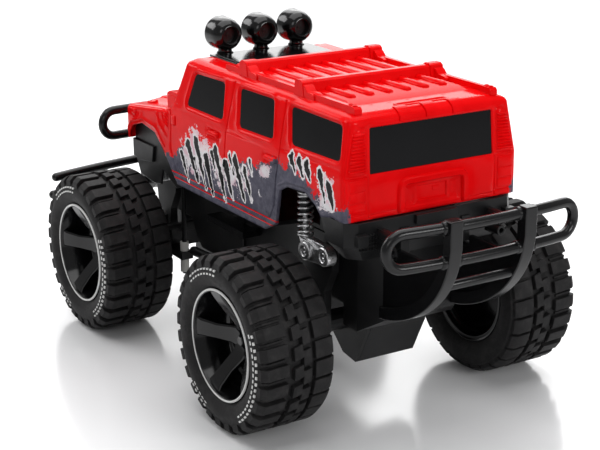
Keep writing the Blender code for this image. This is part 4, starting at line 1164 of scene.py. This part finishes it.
def make_valance():
    levels = [(104.9, -47.5, -37.5, 50.5), (114, -53.5, -31, 57.5), (121, -53.5, -27.5, 57.5)]
    levels.append((128.4, -53, -24, 57.5))
    rings = []
    for z, rear, front, wide in levels:
        left = [(rear, wide - 6, z), (rear + 6, wide, z), (front, wide, z)]
        rings.append([(x, -y, z) for x, y, z in left] + left[::-1])
    parts = [skin(rings), block((-55.4, -14, 122.6), (-52, 14, 128))]
    stud = [(-54.2, 0.35), (-54.2, 0.62), (-53.2, 0.75)]
    grid = [(39.6 + 2.1 * column, 112.8 + 2.1 * row) for row in range(5) for column in range(6)]
    eye = [(-64.5, 1.2), (-66, 1.6), (-66, 3), (-64.5, 3.2), (-56, 3), (-56, 1.2)]
    half = [turned(stud, "X", place, 10) for place in grid]
    half += [turned(eye, "X", (37.5, z), 20, closed=True) for z in (113.4, 121.4)]
    half += [
        block((-54.6, 18, 107), (-49, 24, 122)),
        block((-57.4, 47, 116), (-53, 54, 122.6)),
        block((-62, 35.6, 110.6), (-53, 39.4, 124.2)),
    ]
    made = piece("valance_rear", join(*parts, both_sides(join(*half))), MATT, "chassis", 0.45, 2, 35)
    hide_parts("rear_valance")


def make_liners():
    """Black walls inside the front arches, side plates ahead of the tub, link tubes and a saddle on the axle."""
    wall = [
        (149, 100), (150.5, 118), (163.5, 131), (174, 138), (190, 140), (206, 136), (216.6, 126),
        (216.6, 106), (210, 95), (190, 93), (179, 94.5), (176, 105.5), (164, 100), (157, 97),
    ]
    facet = [(186, 119), (188, 108), (207, 105.2), (216.8, 106.5), (217, 119)]
    plate = [
        (100, 53.2), (157, 53.2), (163, 59), (167, 66), (170, 71), (212, 71), (216, 100),
        (100, 100),
    ]
    link = smooth_path([(124, 36, 54), (140, 37.5, 50.5), (164, 38, 49)])
    parts = [prism(wall, "Y", 52.4, 53.8), prism(facet, "Y", 53, 55.6), prism(plate, "Y", 34.6, 36)]
    parts.append(tube(link, 3.2, up=(0, 1, 0)))
    piece("front_liners", both_sides(join(*parts)), MATT, "chassis", 0.5, 2, 35)
    saddle = both_sides(block((186, 10, 56), (206, 33.4, 70.4)))
    piece("axle_saddle", saddle, MATT, "front_axle_unit", 1, 2, 35)


# ---------------------------------------------------------------- CAD nodes that stay, with better finishes
FINISHES = {
    MATT: (
        "chassis_tub", "chassis_deck", "gearbox_housing", "gearbox_cover", "front_axle_beam", "steering_servo",
        "battery_cover", "tie_rod",
    ),
    BLACK: ("side_step_left", "side_step_right", "power_switch"),
    GLOSS: ("grille",),
    NYLON: (
        "axle_gear", "idler_gear", "steering_arm", "knuckle_left", "knuckle_right", "guide_bush_left",
        "guide_bush_right",
    ),
    STEEL: ("rear_axle_shaft", "motor_pinion"),
    CAN: ("drive_motor",),
    BOARD: ("circuit_board",),
    WRAP: ("battery_pack",),
}


def finish_nodes():
    for finish, names in FINISHES.items():
        for name in names:
            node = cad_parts[name]
            node.data.materials.clear()
            node.data.materials.append(finish)
            soften(node, 0.12 if "gear" in name or "pinion" in name else 0.5)


def make_bush_rings():
    for name, sign in SIDES:
        ring = turned([(42, 2.3), (42, 3.5), (46.8, 3.5), (46.8, 2.3)], "Z", (173, sign * 40.5), 24, closed=True)
        piece(f"bush_ring_{name}", ring, BLACK, "front_axle_unit", 0.3, 2)


# ---------------------------------------------------------------- stage, light and camera
def make_stage():
    mesh = bpy.data.meshes.new("floor")
    mesh.from_pydata([(-8, -8, 0), (8, -8, 0), (8, 8, 0), (-8, 8, 0)], [], [(0, 1, 2, 3)])
    mesh.materials.append(pale_floor())
    show("floor", mesh)


def area_light(name, place, target, size, power):
    """A lamp: its place, target and size in metres and its power in watts."""
    lamp = bpy.data.lights.new(name, "AREA")
    lamp.shape = "RECTANGLE"
    lamp.size, lamp.size_y = size
    lamp.energy = power
    made = show(name, lamp)
    made.location = place
    made.rotation_euler = (Vector(target) - Vector(place)).to_track_quat("-Z", "Y").to_euler()


WORLD_STRENGTH = 0.29


def light_scene():
    world = bpy.data.worlds.new("studio")
    bpy.context.scene.world = world
    world.use_nodes = True
    back = world.node_tree.nodes["Background"]
    back.inputs["Color"].default_value = (1, 1, 1, 1)
    back.inputs["Strength"].default_value = WORLD_STRENGTH
    middle = (0, 0, 0.1)
    area_light("overhead", (0.1, 0, 1.7), middle, (2, 1.8), 23)
    area_light("key", (-1.2, 1.3, 1), middle, (0.8, 0.6), 3.2)
    area_light("rear_fill", (-1.6, -0.5, 0.7), middle, (0.7, 0.5), 8)
    area_light("front_rim", (1.3, 0.8, 0.9), middle, (0.8, 0.6), 6)
    area_light("back_softbox", (1.9, -1.18, 0.78), (0, 0, 0.12), (2.4, 0.9), 14)
    area_light("floor_wash", (2.4, -1.6, 1.9), (2.4, -1.6, 0), (3, 3), 75)
    settings = bpy.context.scene.view_settings
    settings.view_transform = "Standard"
    settings.look = "None"


def make_camera():
    """The photograph's view, in metres."""
    data = bpy.data.cameras.new("camera")
    data.lens, data.sensor_width = 90.7, 36
    data.shift_x, data.shift_y = 0.0014, -0.0144
    data.clip_start, data.clip_end = 0.05, 30
    made = show("camera", data)
    made.location = (-0.7766, 0.4883, 0.3749)
    made.rotation_euler = Vector((0.811, -0.503, -0.297)).to_track_quat("-Z", "Y").to_euler()
    bpy.context.scene.camera = made


make_body()
make_roof_rack()
make_cowl()
make_lamps()
make_glazing()
make_wheels()
make_shocks()
make_rear_bumper()
make_front_bumper()
make_front_guard()
make_valance()
make_liners()
finish_nodes()
make_bush_rings()
make_stage()
light_scene()
make_camera()
